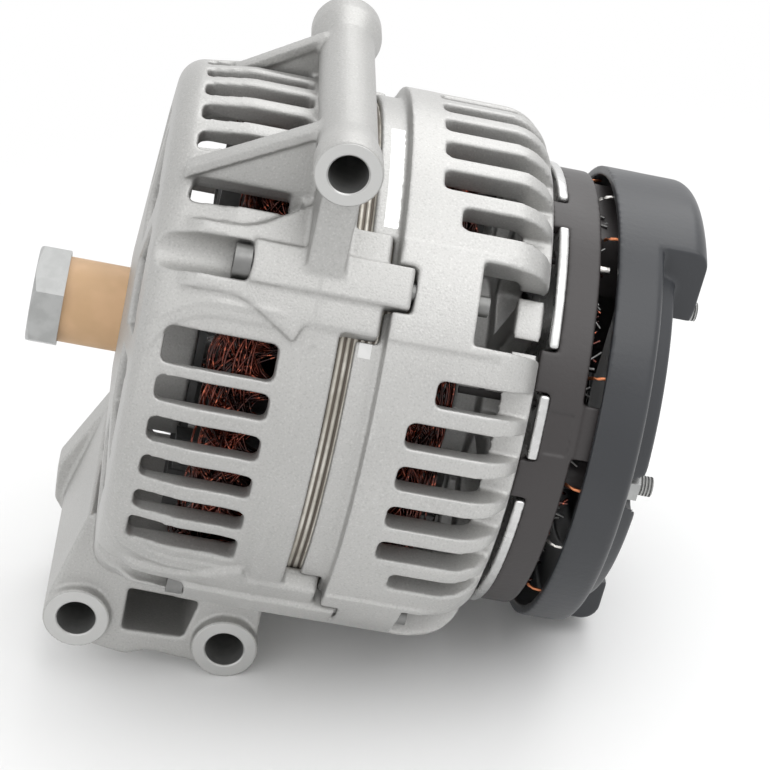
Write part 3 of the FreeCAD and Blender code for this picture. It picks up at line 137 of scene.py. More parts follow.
def fill(tree, socket, value):
    # An input takes a link from a socket, or else a number or a colour.
    if isinstance(value, bpy.types.NodeSocket):
        tree.links.new(value, socket)
    elif socket.type == "RGBA":
        socket.default_value = (*value, 1)
    else:
        socket.default_value = value


def addNode(tree, kind, **values):
    # A shader node; values name its properties, or its inputs as their names without spaces.
    node = tree.nodes.new("ShaderNode" + kind)
    for key, value in values.items():
        if hasattr(node, key):
            setattr(node, key, value)
        else:
            fill(tree, next(s for s in node.inputs if s.name.replace(" ", "") == key), value)
    return node


def objectPlace(tree):
    return addNode(tree, "TexCoord").outputs["Object"]


def noise(tree, place, scale, detail=2.0):
    return addNode(tree, "TexNoise", Vector=place, Scale=scale, Detail=detail).outputs[0]


def calc(tree, operation, *terms):
    # The outcome of a sum, product or other operation on numbers or sockets.
    node = addNode(tree, "Math", operation=operation)
    for socket, term in zip(node.inputs, terms):
        fill(tree, socket, term)
    return node.outputs[0]


def distance(tree, first, second):
    # The length of a step whose two legs are given.
    squares = [calc(tree, "MULTIPLY", leg, leg) for leg in (first, second)]
    return calc(tree, "SQRT", calc(tree, "ADD", *squares))


def waves(tree, along, pitch):
    # A sine that repeats with a pitch in millimetres.
    return calc(tree, "SINE", calc(tree, "MULTIPLY", along, 2 * math.pi / (pitch * mm)))


def ramp(tree, value, low, high, start=0.0, end=1.0):
    # A value taken from low..high to start..end, smoothly and held at both ends.
    node = addNode(tree, "MapRange", interpolation_type="SMOOTHSTEP")
    for socket, term in zip(node.inputs, (value, low, high, start, end)):
        fill(tree, socket, term)
    return node.outputs[0]


def mixColor(tree, share, first, second):
    node = addNode(tree, "Mix", data_type="RGBA")
    for socket, term in zip((node.inputs[0], node.inputs[6], node.inputs[7]), (share, first, second)):
        fill(tree, socket, term)
    return node.outputs[2]


def times(color, factor):
    return tuple(part * factor for part in color)


def newGroup(name, inputs, outputs):
    # A node group with number inputs and outputs, and its input and output sockets.
    group = bpy.data.node_groups.new(name, "ShaderNodeTree")
    for label, value in inputs.items():
        socket = group.interface.new_socket(label, in_out="INPUT", socket_type="NodeSocketFloat")
        socket.default_value = value
    for label in outputs:
        group.interface.new_socket(label, in_out="OUTPUT", socket_type="NodeSocketFloat")
    return group, group.nodes.new("NodeGroupInput").outputs, group.nodes.new("NodeGroupOutput").inputs


def useGroup(tree, group, **values):
    node = tree.nodes.new("ShaderNodeGroup")
    node.node_tree = group
    for key, value in values.items():
        fill(tree, node.inputs[key], value)
    return node.outputs


def bumped(tree, shader, height, depth, strength=1.0):
    # Relief in the shading alone, with the depth in millimetres.
    node = addNode(tree, "Bump", Strength=strength, Distance=depth * mm, Height=height)
    tree.links.new(node.outputs[0], shader.inputs["Normal"])


# grain of a sand or die casting: two sizes of noise, and pits where the fine one is deep
castGrain, given, result = newGroup("castGrain", {"Fine": 1900.0, "Coarse": 420.0},
                                    ("Height", "Speck", "Pit", "Cloud"))
place = objectPlace(castGrain)
fine = noise(castGrain, place, given["Fine"], 3.0)
coarse = noise(castGrain, place, given["Coarse"])
height = calc(castGrain, "ADD", fine, calc(castGrain, "MULTIPLY", coarse, 0.5))
castGrain.links.new(height, result["Height"])
castGrain.links.new(ramp(castGrain, fine, 0.56, 0.70), result["Speck"])
castGrain.links.new(ramp(castGrain, fine, 0.45, 0.33), result["Pit"])
castGrain.links.new(noise(castGrain, place, 26.0), result["Cloud"])

# fine turning rings round an axis along Y
boreRings, given, result = newGroup("boreRings", {"X": 0.0, "Z": 0.0}, ("Rings",))
axes = addNode(boreRings, "SeparateXYZ", Vector=objectPlace(boreRings)).outputs
far = distance(boreRings, calc(boreRings, "SUBTRACT", axes[0], given["X"]),
               calc(boreRings, "SUBTRACT", axes[2], given["Z"]))
boreRings.links.new(calc(boreRings, "SINE", calc(boreRings, "MULTIPLY", far, 22000.0)), result["Rings"])


def castMaterial(name, color):
    # Cast aluminium with a fine blasted grain, clouds of tone and a few shallow pits.
    material, tree, shader = newMaterial(name, color, 0.48, 0.72)
    grain = useGroup(tree, castGrain)
    tint = mixColor(tree, ramp(tree, grain["Cloud"], 0.3, 0.7), times(color, 0.90), color)
    tint = mixColor(tree, calc(tree, "MULTIPLY", grain["Speck"], 0.30), tint, times(color, 1.35))
    tint = mixColor(tree, calc(tree, "MULTIPLY", grain["Pit"], 0.30), tint, times(color, 0.62))
    tree.links.new(tint, shader.inputs["Base Color"])
    tree.links.new(ramp(tree, grain["Cloud"], 0.25, 0.75, 0.44, 0.54), shader.inputs["Roughness"])
    bumped(tree, shader, grain["Height"], 0.10, 0.8)
    return material


# the drive-end casting is a darker copy of the rear one: partly its own tone, partly painted shade for the
# light falling off towards the front
castFront = castMaterial("castFront", (0.49, 0.487, 0.475))
castRear = castMaterial("castRear", (0.53, 0.527, 0.515))


def facingMaterial(name, x, z):
    # A face cut on a machine: bright, with fine rings round its own axis.
    material, tree, shader = newMaterial(name, (0.56, 0.56, 0.55), 0.42, 0.85)
    spot = useGroup(tree, boreRings, X=x * mm, Z=z * mm)
    bumped(tree, shader, spot["Rings"], 0.02, 0.5)
    tree.links.new(ramp(tree, spot["Rings"], -1.0, 1.0, 0.38, 0.48), shader.inputs["Roughness"])
    return material


def plainMetal(name, color, rough, metal=1.0, streaks=0.0, scale=300.0, depth=0.03):
    # Plated or turned steel with faint blotches and a fine grain.
    material, tree, shader = newMaterial(name, color, rough, metal)
    place = objectPlace(tree)
    blotch = noise(tree, place, scale, 4.0)
    tint = mixColor(tree, ramp(tree, blotch, 0.35, 0.65), times(color, 0.90), color)
    tree.links.new(tint, shader.inputs["Base Color"])
    tree.links.new(ramp(tree, blotch, 0.3, 0.7, rough + 0.08, rough - 0.04), shader.inputs["Roughness"])
    height = blotch
    if streaks:
        stretched = addNode(tree, "Mapping", Vector=place, Scale=(streaks, 60.0, 60.0)).outputs[0]
        height = noise(tree, stretched, 1.0)
    bumped(tree, shader, height, depth)
    return material


zinc = plainMetal("zinc", (0.66, 0.66, 0.65), 0.34)
# painted shade: a darker copy of zinc for the nuts, standing in for the light falling off on them
shadedNutZinc = plainMetal("shadedNutZinc", (0.44, 0.445, 0.44), 0.36)
# painted shade: zinc set darker for the bolt heads sunk in their pockets and the strands in the gap under the
# cover
shadedZinc = plainMetal("shadedZinc", (0.24, 0.24, 0.235), 0.42)
# painted highlight: a bright metal for the bars laid on the rear bracket's spigot where light from above
# brightens it
paintedSpigotHighlight = plainMetal("paintedSpigotHighlight", (0.74, 0.74, 0.73), 0.32, 0.85)
# painted shade: a dark metal for the drilled walls inside the bores
boreLining = plainMetal("boreLining", (0.26, 0.26, 0.255), 0.55, 0.6)
turnedSteel = plainMetal("turnedSteel", (0.56, 0.56, 0.56), 0.30, streaks=4000.0)
ground = plainMetal("ground", (0.66, 0.66, 0.67), 0.16)
# the fans, the retainer and the rotor's claws take dark colours: partly their own finish, partly painted
# shade inside the brackets
pressed = plainMetal("pressed", (0.17, 0.17, 0.17), 0.6)
forged = plainMetal("forged", (0.11, 0.11, 0.115), 0.55, scale=700.0, depth=0.1)
sheetAluminium = plainMetal("sheetAluminium", (0.66, 0.66, 0.655), 0.30, scale=500.0)
tinned = plainMetal("tinned", (0.72, 0.70, 0.67), 0.28)
slipCopper = plainMetal("slipCopper", (0.80, 0.45, 0.30), 0.20, streaks=6000.0)
bareCopper = plainMetal("bareCopper", (0.62, 0.23, 0.11), 0.30)
pinMetal = plainMetal("pinMetal", (0.80, 0.74, 0.55), 0.25)

# laminations: thin sheet edges side by side along the shaft
lamination, tree, shader = newMaterial("lamination", (0.30, 0.27, 0.23), 0.45, 0.8)
place = objectPlace(tree)
sheets = waves(tree, addNode(tree, "SeparateXYZ", Vector=place).outputs[0], 1.65)
patches = noise(tree, place, 160.0, 3.0)
bright = mixColor(tree, ramp(tree, patches, 0.35, 0.7), (0.50, 0.47, 0.41), (0.76, 0.73, 0.67))
tint = mixColor(tree, ramp(tree, sheets, -0.7, 0.3), (0.14, 0.12, 0.10), bright)
tree.links.new(tint, shader.inputs["Base Color"])
bumped(tree, shader, sheets, 0.2, 0.6)

# studs: painted shade between the crests of the thread
threaded, tree, shader = newMaterial("threaded", (0.50, 0.50, 0.49), 0.34, 1.0)
crests = waves(tree, addNode(tree, "SeparateXYZ", Vector=objectPlace(tree)).outputs[0], 0.8)
tint = mixColor(tree, ramp(tree, crests, -1.0, 0.4), (0.24, 0.24, 0.235), (0.54, 0.54, 0.53))
tree.links.new(tint, shader.inputs["Base Color"])
bumped(tree, shader, crests, 0.3)

# enamelled wire: red-brown with darker varnish in patches and painted glints of bright colour
enamel, tree, shader = newMaterial("enamel", (0.12, 0.03, 0.02), 0.22, 0.85, 0.6)
place = objectPlace(tree)
varnish = noise(tree, place, 220.0, 3.0)
paintedGlint = noise(tree, place, 760.0, 1.0)
worn = mixColor(tree, ramp(tree, varnish, 0.38, 0.66), (0.030, 0.008, 0.007), (0.22, 0.042, 0.022))
tint = mixColor(tree, ramp(tree, paintedGlint, 0.62, 0.70), worn, (0.66, 0.17, 0.09))
tree.links.new(tint, shader.inputs["Base Color"])
bumped(tree, shader, noise(tree, place, 1400.0), 0.1)

# phase leads: dark sleeving inside the rear bracket, bare tinned wire behind it
sleeved, tree, shader = newMaterial("sleeved", (0.5, 0.5, 0.5), 0.40, 0.5)
place = objectPlace(tree)
bare = ramp(tree, addNode(tree, "SeparateXYZ", Vector=place).outputs[0], 0.1085, 0.1095)
tint = mixColor(tree, bare, (0.030, 0.026, 0.026), (0.72, 0.70, 0.67))
tree.links.new(tint, shader.inputs["Base Color"])
tree.links.new(bare, shader.inputs["Metallic"])
tree.links.new(ramp(tree, bare, 0.0, 1.0, 0.62, 0.28), shader.inputs["Roughness"])
bumped(tree, shader, noise(tree, place, 1200.0), 0.06)


def plastic(name, color, rough):
    # Moulded plastic: a fine eroded grain and slight clouding of the sheen.
    material, tree, shader = newMaterial(name, color, rough)
    place = objectPlace(tree)
    cloud = noise(tree, place, 34.0)
    tint = mixColor(tree, ramp(tree, cloud, 0.3, 0.7), color, times(color, 1.18))
    tree.links.new(tint, shader.inputs["Base Color"])
    tree.links.new(ramp(tree, cloud, 0.3, 0.7, rough - 0.05, rough + 0.06), shader.inputs["Roughness"])
    bumped(tree, shader, noise(tree, place, 900.0), 0.04)
    return material


coverPlastic = plastic("coverPlastic", (0.028, 0.030, 0.034), 0.34)
innerPlastic = plastic("innerPlastic", (0.036, 0.032, 0.032), 0.40)
bobbinPlastic = plastic("bobbinPlastic", (0.25, 0.22, 0.16), 0.5)
carbon = plastic("carbon", (0.05, 0.05, 0.05), 0.6)

# transport sleeve: pressed paper tube, tan and smooth, with faint clouds and a fine fibre grain
tan, tree, shader = newMaterial("tan", (0.64, 0.42, 0.24), 0.50)
place = objectPlace(tree)
clouds = ramp(tree, noise(tree, place, 120.0), 0.35, 0.65)
tint = mixColor(tree, clouds, (0.62, 0.40, 0.22), (0.68, 0.44, 0.25))
tree.links.new(tint, shader.inputs["Base Color"])
bumped(tree, shader, noise(tree, place, 1600.0), 0.04)
print("materials made")


# castings: the CAD solid's copy with its edges rounded as in a mould

def applied(piece):
    # The mesh that an object's modifiers make of it; the object itself goes.
    bpy.context.view_layer.update()
    made = bpy.data.meshes.new_from_object(piece.evaluated_get(bpy.context.evaluated_depsgraph_get()))
    bpy.data.objects.remove(piece)
    return made


def remeshed(node, voxel, carving=None):
    # A copy of a node's mesh on an even grid of quads, with a carving taken away from it.
    piece = bpy.data.objects.new("softening", nodes[node].data.copy())
    scene.collection.objects.link(piece)
    weld = piece.modifiers.new("weld", "WELD")
    weld.merge_threshold = 0.01 * mm
    if carving:
        carve = piece.modifiers.new("carve", "BOOLEAN")
        carve.operation, carve.solver, carve.object = "DIFFERENCE", "EXACT", carving
    remesh = piece.modifiers.new("remesh", "REMESH")
    remesh.mode, remesh.voxel_size = "VOXEL", voxel * mm
    return applied(piece)


def wornRound(mesh, points, rounds):
    # Each point moves half way to the middle of its neighbours, some rounds over.
    edges = np.empty(len(mesh.edges) * 2, int)
    mesh.edges.foreach_get("vertices", edges)
    first, second = edges.reshape(-1, 2).T
    ends = np.concatenate([first, second])
    others = np.concatenate([second, first])
    around = np.bincount(ends, minlength=len(points))
    for step in range(rounds):
        mean = np.stack([np.bincount(ends, points[others, axis], len(points)) for axis in range(3)], 1)
        points = points + 0.5 * (mean / around[:, None] - points)
    return points


def machinedPlace(points, bore):
    # The cast wall stands behind the bore's lining, and the pads stand flat a little under their facing.
    x, z = bore["x"] * mm, bore["z"] * mm
    off = np.hypot(points[:, 0] - x, points[:, 2] - z)
    room = (bore["hole"] + boreCut["wallBehind"]) * mm
    widen = np.where(off < room, room / np.maximum(off, 0.1 * mm), 1.0)
    points[:, 0] = x + (points[:, 0] - x) * widen
    points[:, 2] = z + (points[:, 2] - z) * widen
    inside = off < (bore["nearRim"] + boreCut["padOver"]) * mm
    for place, side in ((bore["near"], 1), (bore["far"], -1)):
        close = inside & (np.abs(points[:, 1] - place * mm) < boreCut["padReach"] * mm)
        points[close, 1] = (place + side * boreCut["padUnder"]) * mm


def softened(node, material, grid, drilled=(), carving=None, relief=None):
    # A casting's look: the CAD solid on an even grid, worn round at its edges, with its relief and the
    # places of its drilled bores, and thinned to a share of its faces.
    mesh = remeshed(node, grid["voxel"], carving)
    points = np.empty(len(mesh.vertices) * 3)
    mesh.vertices.foreach_get("co", points)
    points = wornRound(mesh, points.reshape(-1, 3), grid["rounds"])
    if relief:
        points = relief(points)
    for bore in drilled:
        machinedPlace(points, bore)
    mesh.vertices.foreach_set("co", points.ravel())
    piece = bpy.data.objects.new(node + "Look", mesh)
    scene.collection.objects.link(piece)
    thin = piece.modifiers.new("thin", "DECIMATE")
    thin.ratio = grid["share"]
    made = applied(piece)
    made.name = node + "Look"
    print(node, "softened from", len(mesh.polygons), "quads to", len(made.polygons), "faces")
    look = finishPiece(node + "Look", made, material)
    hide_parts(node)


ear = {"near": -32.0, "far": 36.5, "hole": 5.05, "nearRim": 8.3, "farRim": 8.3}
tube = {"near": -58.0, "far": 34.0, "hole": 4.65, "nearRim": 7.6, "farRim": 8.5}
bores = {"frontEar": {"x": 10.0, "z": -75.0, **ear}, "rearEar": {"x": 49.5, "z": -77.0, **ear},
         "tube": {"x": 50.9, "z": 73.8, **tube}}
boreCut = {"wallBehind": 0.4, "padOver": 0.3, "padUnder": 0.2, "padReach": 1.2, "bevel": 0.35, "lip": 0.45,
           "sunk": 0.3, "edgeDeep": 0.08, "edgeWide": 0.1, "entry": 0.6, "sides": 72}
grids = {"casting": {"voxel": 0.52, "rounds": 4, "share": 0.19},
         "cover": {"voxel": 0.55, "rounds": 3, "share": 0.36},
         "ring": {"voxel": 0.5, "rounds": 3, "share": 0.40},
         "sheet": {"voxel": 0.45, "rounds": 7, "share": 0.45}}

# the slot under the near strut runs on below the strut's web
strutSlot = {"front": 18.0, "rear": 41.0, "low": 52.4, "high": 57.2, "inner": 60.0, "outer": 68.5}
section = [(strutSlot[radius], strutSlot[angle]) for radius, angle in
           (("inner", "low"), ("outer", "low"), ("outer", "high"), ("inner", "high"))]
corners = np.array([polar(strutSlot[end], radius, angle)
                    for end in ("front", "rear") for radius, angle in section])
carverMesh = bpy.data.meshes.new("strutSlot")
carverMesh.from_pydata((corners * mm).tolist(), [], [
    (0, 1, 2, 3), (7, 6, 5, 4), (0, 4, 5, 1), (1, 5, 6, 2), (2, 6, 7, 3), (3, 7, 4, 0)])
carver = bpy.data.objects.new("strutSlot", carverMesh)
scene.collection.objects.link(carver)

slotField = {"front": 13.4, "half": 29.8, "round": 68.0, "corner": 15.0, "deep": 0.6, "edge": 1.1,
             "bead": 0.35, "beadOff": 2.8, "beadWide": 0.8, "within": 33,
             "shoulder": 8.5, "shoulderFade": 2.0, "rearEnd": 45.0, "rearFade": 6.0,
             "bowl": 61.0, "bowlFade": 4.0}
seamLine = {"x": 51.0, "high": 0.25, "wide": 0.5, "low": 27, "top": 50, "bowl": 66}


def fieldRelief(points):
    # A shallow panel round the slots: the depth follows the distance inside a rounded rectangle that is
    # drawn on the unrolled bowl, with a low bead that runs round outside it; a parting seam crosses the
    # bosses. Both fade out at the shoulder, at the bowl's rear end and below its skin.
    x = points[:, 0] / mm
    radius = np.hypot(points[:, 1], points[:, 2]) / mm
    angle = np.abs(np.degrees(np.arctan2(points[:, 2], -points[:, 1])))
    angle = np.minimum(angle, 180 - angle)
    inX = x - slotField["front"]
    inArc = np.radians(slotField["half"] - angle) * slotField["round"]
    cornerX, cornerArc = slotField["corner"] - inX, slotField["corner"] - inArc
    rounded = (cornerX > 0) & (cornerArc > 0)
    inside = np.where(rounded, slotField["corner"] - np.hypot(cornerX, cornerArc), np.minimum(inX, inArc))
    step = np.clip(inside / slotField["edge"], 0, 1)
    depth = -slotField["deep"] * step * step * (3 - 2 * step)
    outside = (inside + slotField["beadOff"]) / slotField["beadWide"]
    depth = depth + slotField["bead"] * np.exp(-outside ** 2)
    fade = (np.clip((slotField["rearEnd"] - x) / slotField["rearFade"], 0, 1)
            * np.clip((radius - slotField["bowl"]) / slotField["bowlFade"], 0, 1)
            * np.clip((x - slotField["shoulder"]) / slotField["shoulderFade"], 0, 1))
    seam = seamLine["high"] * np.exp(-((x - seamLine["x"]) / seamLine["wide"]) ** 2)
    seam = seam * ((angle > seamLine["low"]) & (angle < seamLine["top"]))
    rise = depth * fade * (angle < slotField["within"]) + seam * (radius > seamLine["bowl"])
    factor = 1 + rise / np.maximum(radius, 1)
    return points * np.stack([np.ones(len(x)), factor, factor], 1)


softened("drive_end_bracket", castFront, grids["casting"], bores.values(), carver, fieldRelief)
bpy.data.objects.remove(carver)
softened("rear_bracket", castRear, grids["casting"])

coverLines = {"face": 134.0, "rings": (25.0, 45.0), "spokes": 12, "wide": 1.0, "deep": 0.55,
              "bare": ((0.0, 52.0, 25.0), (5.0, 27.0, 9.0), (0.0, -50.0, 22.0)),
              "nutRing": 47.0, "nutAngles": (3.0, 123.0, 243.0), "nutRoom": 10.0, "fade": 2.0}


def coverRelief(points):
    # Moulded lines on the cover's rear face: two rings and spokes between them, each a soft groove whose
    # depth falls off with the distance from its middle; the socket, the low block and the nuts stay bare.
    x, y, z = (points / mm).T
    radius = np.hypot(y, z)
    angle = np.degrees(np.arctan2(z, -y))
    low, high = coverLines["rings"]
    pitch = 360 / coverLines["spokes"]
    aside = np.radians((angle + pitch / 2) % pitch - pitch / 2) * radius
    spoke = np.where((radius > low) & (radius < high), np.abs(aside), np.inf)
    nearest = np.minimum.reduce([np.abs(radius - low), np.abs(radius - high), spoke])
    deep = coverLines["deep"] * np.exp(-(nearest / coverLines["wide"]) ** 2)
    deep = np.where(x > coverLines["face"], deep, 0.0)
    nuts = [(*polar(0, coverLines["nutRing"], turn)[1:], coverLines["nutRoom"])
            for turn in coverLines["nutAngles"]]
    for spotY, spotZ, room in [*coverLines["bare"], *nuts]:
        deep = deep * np.clip((np.hypot(y - spotY, z - spotZ) - room) / coverLines["fade"], 0, 1)
    return points - np.stack([deep, 0 * deep, 0 * deep], 1) * mm


softened("rear_cover", coverPlastic, grids["cover"], relief=coverRelief)
softened("negative_heat_sink", sheetAluminium, grids["sheet"])
softened("connection_ring", innerPlastic, grids["ring"])


# facings and bores cut by a tool after casting: a closed profile of y and radius, with a flat ring and a
# bevel at each end of the lined hole, turned about the hole's own axis

for name, bore in bores.items():
    near, far, hole, sides = bore["near"], bore["far"], bore["hole"], boreCut["sides"]
    bevel, lip, sunk, entry = boreCut["bevel"], boreCut["lip"], boreCut["sunk"], boreCut["entry"]
    profile = np.array([
        (near + sunk, hole + lip), (near + sunk, bore["nearRim"]),
        (near + boreCut["edgeDeep"], bore["nearRim"]), (near, bore["nearRim"] - boreCut["edgeWide"]),
        (near, hole + bevel), (near + bevel, hole), (near + bevel + entry, hole),
        (far - bevel - entry, hole), (far - bevel, hole), (far, hole + bevel),
        (far, bore["farRim"] - boreCut["edgeWide"]), (far - boreCut["edgeDeep"], bore["farRim"]),
        (far - sunk, bore["farRim"]), (far - sunk, hole + lip)])
    angle = np.arange(sides) / sides * 2 * math.pi
    ring = np.stack([bore["x"] + profile[:, 1:] * np.cos(angle), np.repeat(profile[:, :1], sides, 1),
                     bore["z"] + profile[:, 1:] * np.sin(angle)], -1)
    ring = np.concatenate([ring, ring[:1]])
    facing = facingMaterial(name + "Facing", bore["x"], bore["z"])
    piece = makePiece(name + "Bore", ring.reshape(-1, 3), gridFaces(len(ring), sides), facing, smooth=False)
    # the hole's wall takes the dark lining metal, painted shade inside the bore
    piece.data.materials.append(boreLining)
    row = np.repeat(np.arange(len(profile)), sides)  # rows 5 to 7 are the hole's wall between the bevels
    piece.data.polygons.foreach_set("material_index", ((row > 4) & (row < 8)).astype(int))
    piece.data.polygons.foreach_set("use_smooth", row == 6)
print("castings made")


# stator winding: wires rise from one slot, cross over and go back into the slot a pole further on

winding = {"slots": 36, "firstSlot": 5.0, "reach": 30.0, "wires": 24, "wire": 0.29, "steps": 15,
           "low": 53.0, "high": 60.2, "slotTop": 58.5, "rise": 0.3, "crown": 1.4, "shortest": 0.35,
           "flat": (0.35, 0.6), "stray": 1.6, "sway": 1.2, "weave": 0.5}


def windingHead(name, seat, tall, side):
    # Hairpin loops: x swings out from the stack as a flattened half sine, the angle runs over the
    # reach, and the radius drifts from the slot's depth to the loop's own layer.
    slots = np.arange(winding["slots"]) * 360 / winding["slots"] + winding["firstSlot"]
    slots = np.repeat(slots, winding["wires"])
    each = (len(slots), 1)
    along = np.linspace(0, 1, winding["steps"])[None]
    layer = rng.uniform(winding["low"], winding["high"], each)
    height = rng.uniform(winding["shortest"], 1.0, each) * (tall - winding["crown"])
    lift = np.sin(np.pi * along) ** rng.uniform(*winding["flat"], each)
    x = seat + side * (winding["rise"] + height * lift)
    angle = slots[:, None] + rng.uniform(-winding["stray"], winding["stray"], each) + winding["reach"] * along
    angle = angle + rng.uniform(-winding["sway"], winding["sway"], each) * np.sin(2 * np.pi * along)
    start = rng.uniform(winding["low"], winding["slotTop"], each)
    blend = np.sin(np.pi * along) ** 0.7
    radius = start + (layer - start) * blend
    radius = radius + winding["weave"] * np.sin(3 * np.pi * along + slots[:, None])
    radius = np.clip(radius, winding["low"], winding["high"])
    points, faces = tubesAlong(polar(x, radius, angle), winding["wire"])
    return makePiece(name, points, faces, enamel)


frontWires = windingHead("frontWindingHead", 45.5, 18.0, -1)
windingHead("rearWindingHead", 75.5, 13.5, 1)
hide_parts("stator_winding")
print("winding made")


# wires in the gap between the connection ring and the cover: each stands on the ring's floor, leans out
# behind the ring's wall and, where it is a lead, runs on under the cover's skirt

leads = {"wire": 0.42, "sides": 10, "steps": 13, "swing": 2.0, "corners": (0, 0.35, 0.7, 1),
         "x": (111.5, 117.0, 121.0, 124.4), "radius": (50.0, 51.5, 55.2, 56.0),
         "copper": (73.0, 31.0, 3.5, -40.0, 118.0, 152.0, 196.0, 228.0, 285.0), "tin": (-16.5, 92.0, 170.0)}
strands = {"count": 300, "wire": 0.34, "steps": 8, "floor": 111.5, "low": 47.5, "high": 53.4,
           "shortest": 6.0, "longest": 10.5, "lean": (-0.8, 1.4), "twist": 9}


def leadPath(angle, swing):
    # Three straight reaches from the floor to the skirt, sampled evenly.
    along = np.linspace(0, 1, leads["steps"])
    x, radius = (np.interp(along, leads["corners"], leads[key]) for key in ("x", "radius"))
    return polar(x, radius, angle + swing * along)


for name, angles, material in (("copperLeads", leads["copper"], bareCopper),
                               ("tinnedLeads", leads["tin"], tinned)):
    paths = [leadPath(angle, rng.uniform(-leads["swing"], leads["swing"])) for angle in angles]
    points, faces = tubesAlong(paths, leads["wire"], leads["sides"])
    makePiece(name, points, faces, material)

# strands rise from the floor; the radius leans with the square of the height and the angle a little less
for name, share, material in (("enamelStrands", 0.6, enamel), ("tinnedStrands", 0.4, shadedZinc)):
    each = (round(strands["count"] * share), 1)
    along = np.linspace(0, 1, strands["steps"])[None]
    tall = rng.uniform(strands["shortest"], strands["longest"], each)
    x = strands["floor"] + tall * along
    radius = rng.uniform(strands["low"], strands["high"], each)
    radius = radius + rng.uniform(*strands["lean"], each) * along ** 2
    angle = rng.uniform(0, 360, each) + rng.uniform(-strands["twist"], strands["twist"], each) * along ** 1.5
    points, faces = tubesAlong(polar(x, radius, angle), strands["wire"])
    makePiece(name, points, faces, material)

# bright bars on the rear bracket's spigot beside the tongue of the boss, a painted highlight where light from
# above
# brightens the lip: front and rear x, and the angles from and to; each is a closed bar bent round the spigot
spigot = {"round": 66.46, "sunk": 66.1, "steps": 30,
          "spots": ((62.2, 65.2, 26.6, 29.6), (63.6, 67.2, 54.6, 84.0))}
for number, (front, rear, low, high) in enumerate(spigot["spots"]):
    steps = spigot["steps"]
    angle = np.linspace(low, high, steps)
    section = [(front, spigot["sunk"]), (front, spigot["round"]),
               (rear, spigot["round"]), (rear, spigot["sunk"])]
    rows = np.array([polar(np.full(steps, x), np.full(steps, radius), angle) for x, radius in section])
    ends = [np.arange(4) * steps, np.arange(4)[::-1] * steps + steps - 1]
    faces = np.concatenate([gridFaces(5, steps, closed=False), ends]) % (4 * steps)
    makePiece("spigotHighlightBar%d" % number, rows.reshape(-1, 3), faces, paintedSpigotHighlight, smooth=False)
print("wires in the gap made")


# materials of the nodes that keep their CAD shape

finishes = {
    lamination: ["stator_core"],
    # painted shade: the through bolts' heads in their pockets take the darker zinc
    shadedZinc: ["through_bolts"],
    shadedNutZinc: ["pulley_nut", "cover_nuts", "battery_nut"],
    threaded: ["cover_studs", "battery_stud"],
    zinc: ["retainer_screws", "negative_diodes", "positive_diodes"],
    turnedSteel: ["rotor_shaft", "thrust_collar"],
    ground: ["front_bearing_outer_race", "front_bearing_inner_race", "front_bearing_balls",
             "rear_bearing_outer_race", "rear_bearing_inner_race", "rear_bearing_balls",
             "brush_spring_negative", "brush_spring_positive"],
    pressed: ["front_fan", "rear_fan", "bearing_retainer"],
    forged: ["claw_pole_front", "claw_pole_rear"],
    sheetAluminium: ["negative_heat_sink", "positive_heat_sink"],
    sleeved: ["phase_leads"],
    slipCopper: ["slip_ring_inner", "slip_ring_outer"],
    pinMetal: ["plug_pins"],
    enamel: ["field_coil"],
    innerPlastic: ["connection_ring", "brush_holder", "regulator", "rear_bearing_sleeve",
                   "slip_ring_insulator"],
    bobbinPlastic: ["coil_bobbin"],
    carbon: ["brush_negative", "brush_positive"],
    tan: ["shaft_sleeve"],
}
for material, names in finishes.items():
    for name in names:
        nodes[name].data.materials.clear()
        nodes[name].data.materials.append(material)


# floor: it touches the rear ear and the cover's low block, and fades out into the white background

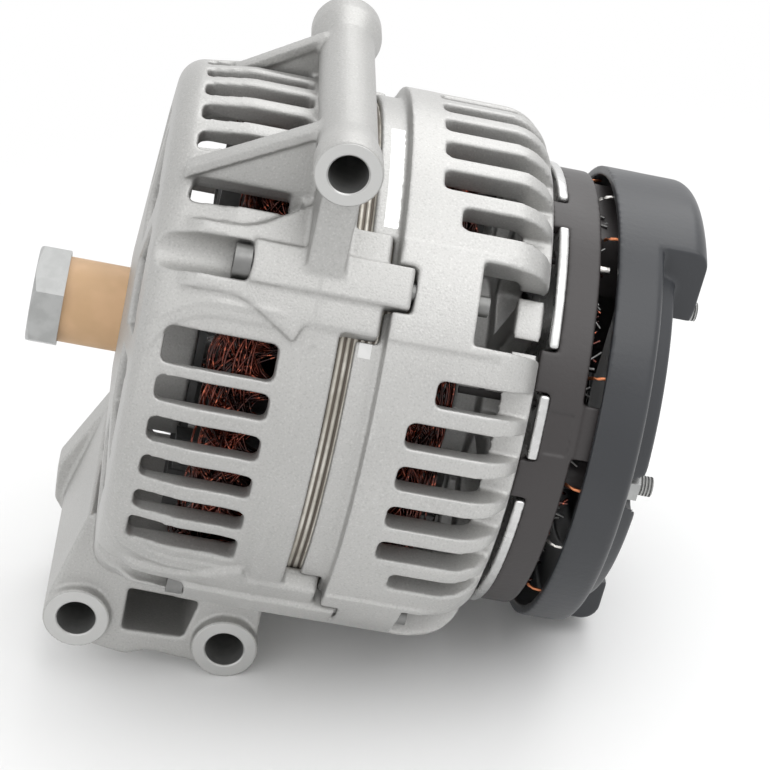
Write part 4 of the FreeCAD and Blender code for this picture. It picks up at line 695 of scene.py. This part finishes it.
floorLook = {"contact": ((49.5, -85.9), (147.0, -60.5)), "half": 3000.0, "middle": 70.0, "squeeze": 0.9,
             "fadeFrom": 50.0, "fadeTo": 370.0}
(frontX, frontZ), (rearX, rearZ) = floorLook["contact"]
slope = math.atan2(rearZ - frontZ, rearX - frontX)
floorMesh = bpy.data.meshes.new("floor")
half = floorLook["half"] * mm
floorCorners = [(-half, -half, 0), (half, -half, 0), (half, half, 0), (-half, half, 0)]
floorMesh.from_pydata(floorCorners, [], [(0, 1, 2, 3)])
floor = bpy.data.objects.new("floor", floorMesh)
scene.collection.objects.link(floor)
floor.matrix_world = Matrix.Translation((frontX * mm, 0, frontZ * mm)) @ Matrix.Rotation(-slope, 4, "Y")
floorMaterial, tree, shader = newMaterial("floorPaint", (0.91, 0.912, 0.91), 0.6)
shader.inputs["Specular IOR Level"].default_value = 0.2
axes = addNode(tree, "SeparateXYZ", Vector=objectPlace(tree)).outputs
offX = calc(tree, "SUBTRACT", axes[0], floorLook["middle"] * mm)
far = distance(tree, calc(tree, "MULTIPLY", offX, floorLook["squeeze"]), axes[1])
tree.links.new(ramp(tree, far, floorLook["fadeFrom"] * mm, floorLook["fadeTo"] * mm, 1.0, 0.0),
               shader.inputs["Alpha"])
floorMesh.materials.append(floorMaterial)


# world: a little dimmer as a light than it is where the camera or a mirror sees it

world = bpy.data.worlds.new("world")
scene.world = world
world.use_nodes = True
tree = world.node_tree
back = tree.nodes["Background"]
path = addNode(tree, "LightPath").outputs
seen = calc(tree, "MAXIMUM", path["Is Camera Ray"], path["Is Transmission Ray"])
seen = calc(tree, "MAXIMUM", seen, path["Is Glossy Ray"])
back.inputs["Color"].default_value = (1, 1, 1, 1)
tree.links.new(ramp(tree, seen, 0.0, 1.0, 0.90, 1.0), back.inputs["Strength"])


# lamps: place, width and power in watts, all turned to the middle of the part

lamps = {"key": ((260, -300, 820), 760.0, 2.9), "back": ((160, 560, 760), 700.0, 2.7),
         "fill": ((-500, -600, 250), 500.0, 0.4)}
middle = Vector((60.0, 0, 0)) * mm
for name, (spot, wide, power) in lamps.items():
    lampData = bpy.data.lights.new(name, "AREA")
    lampData.size = wide * mm
    lampData.energy = power
    lamp = bpy.data.objects.new(name, lampData)
    scene.collection.objects.link(lamp)
    place = Vector(spot) * mm
    aim = (middle - place).to_track_quat("-Z", "Y").to_matrix().to_4x4()
    lamp.matrix_world = Matrix.Translation(place) @ aim
print("stage set")
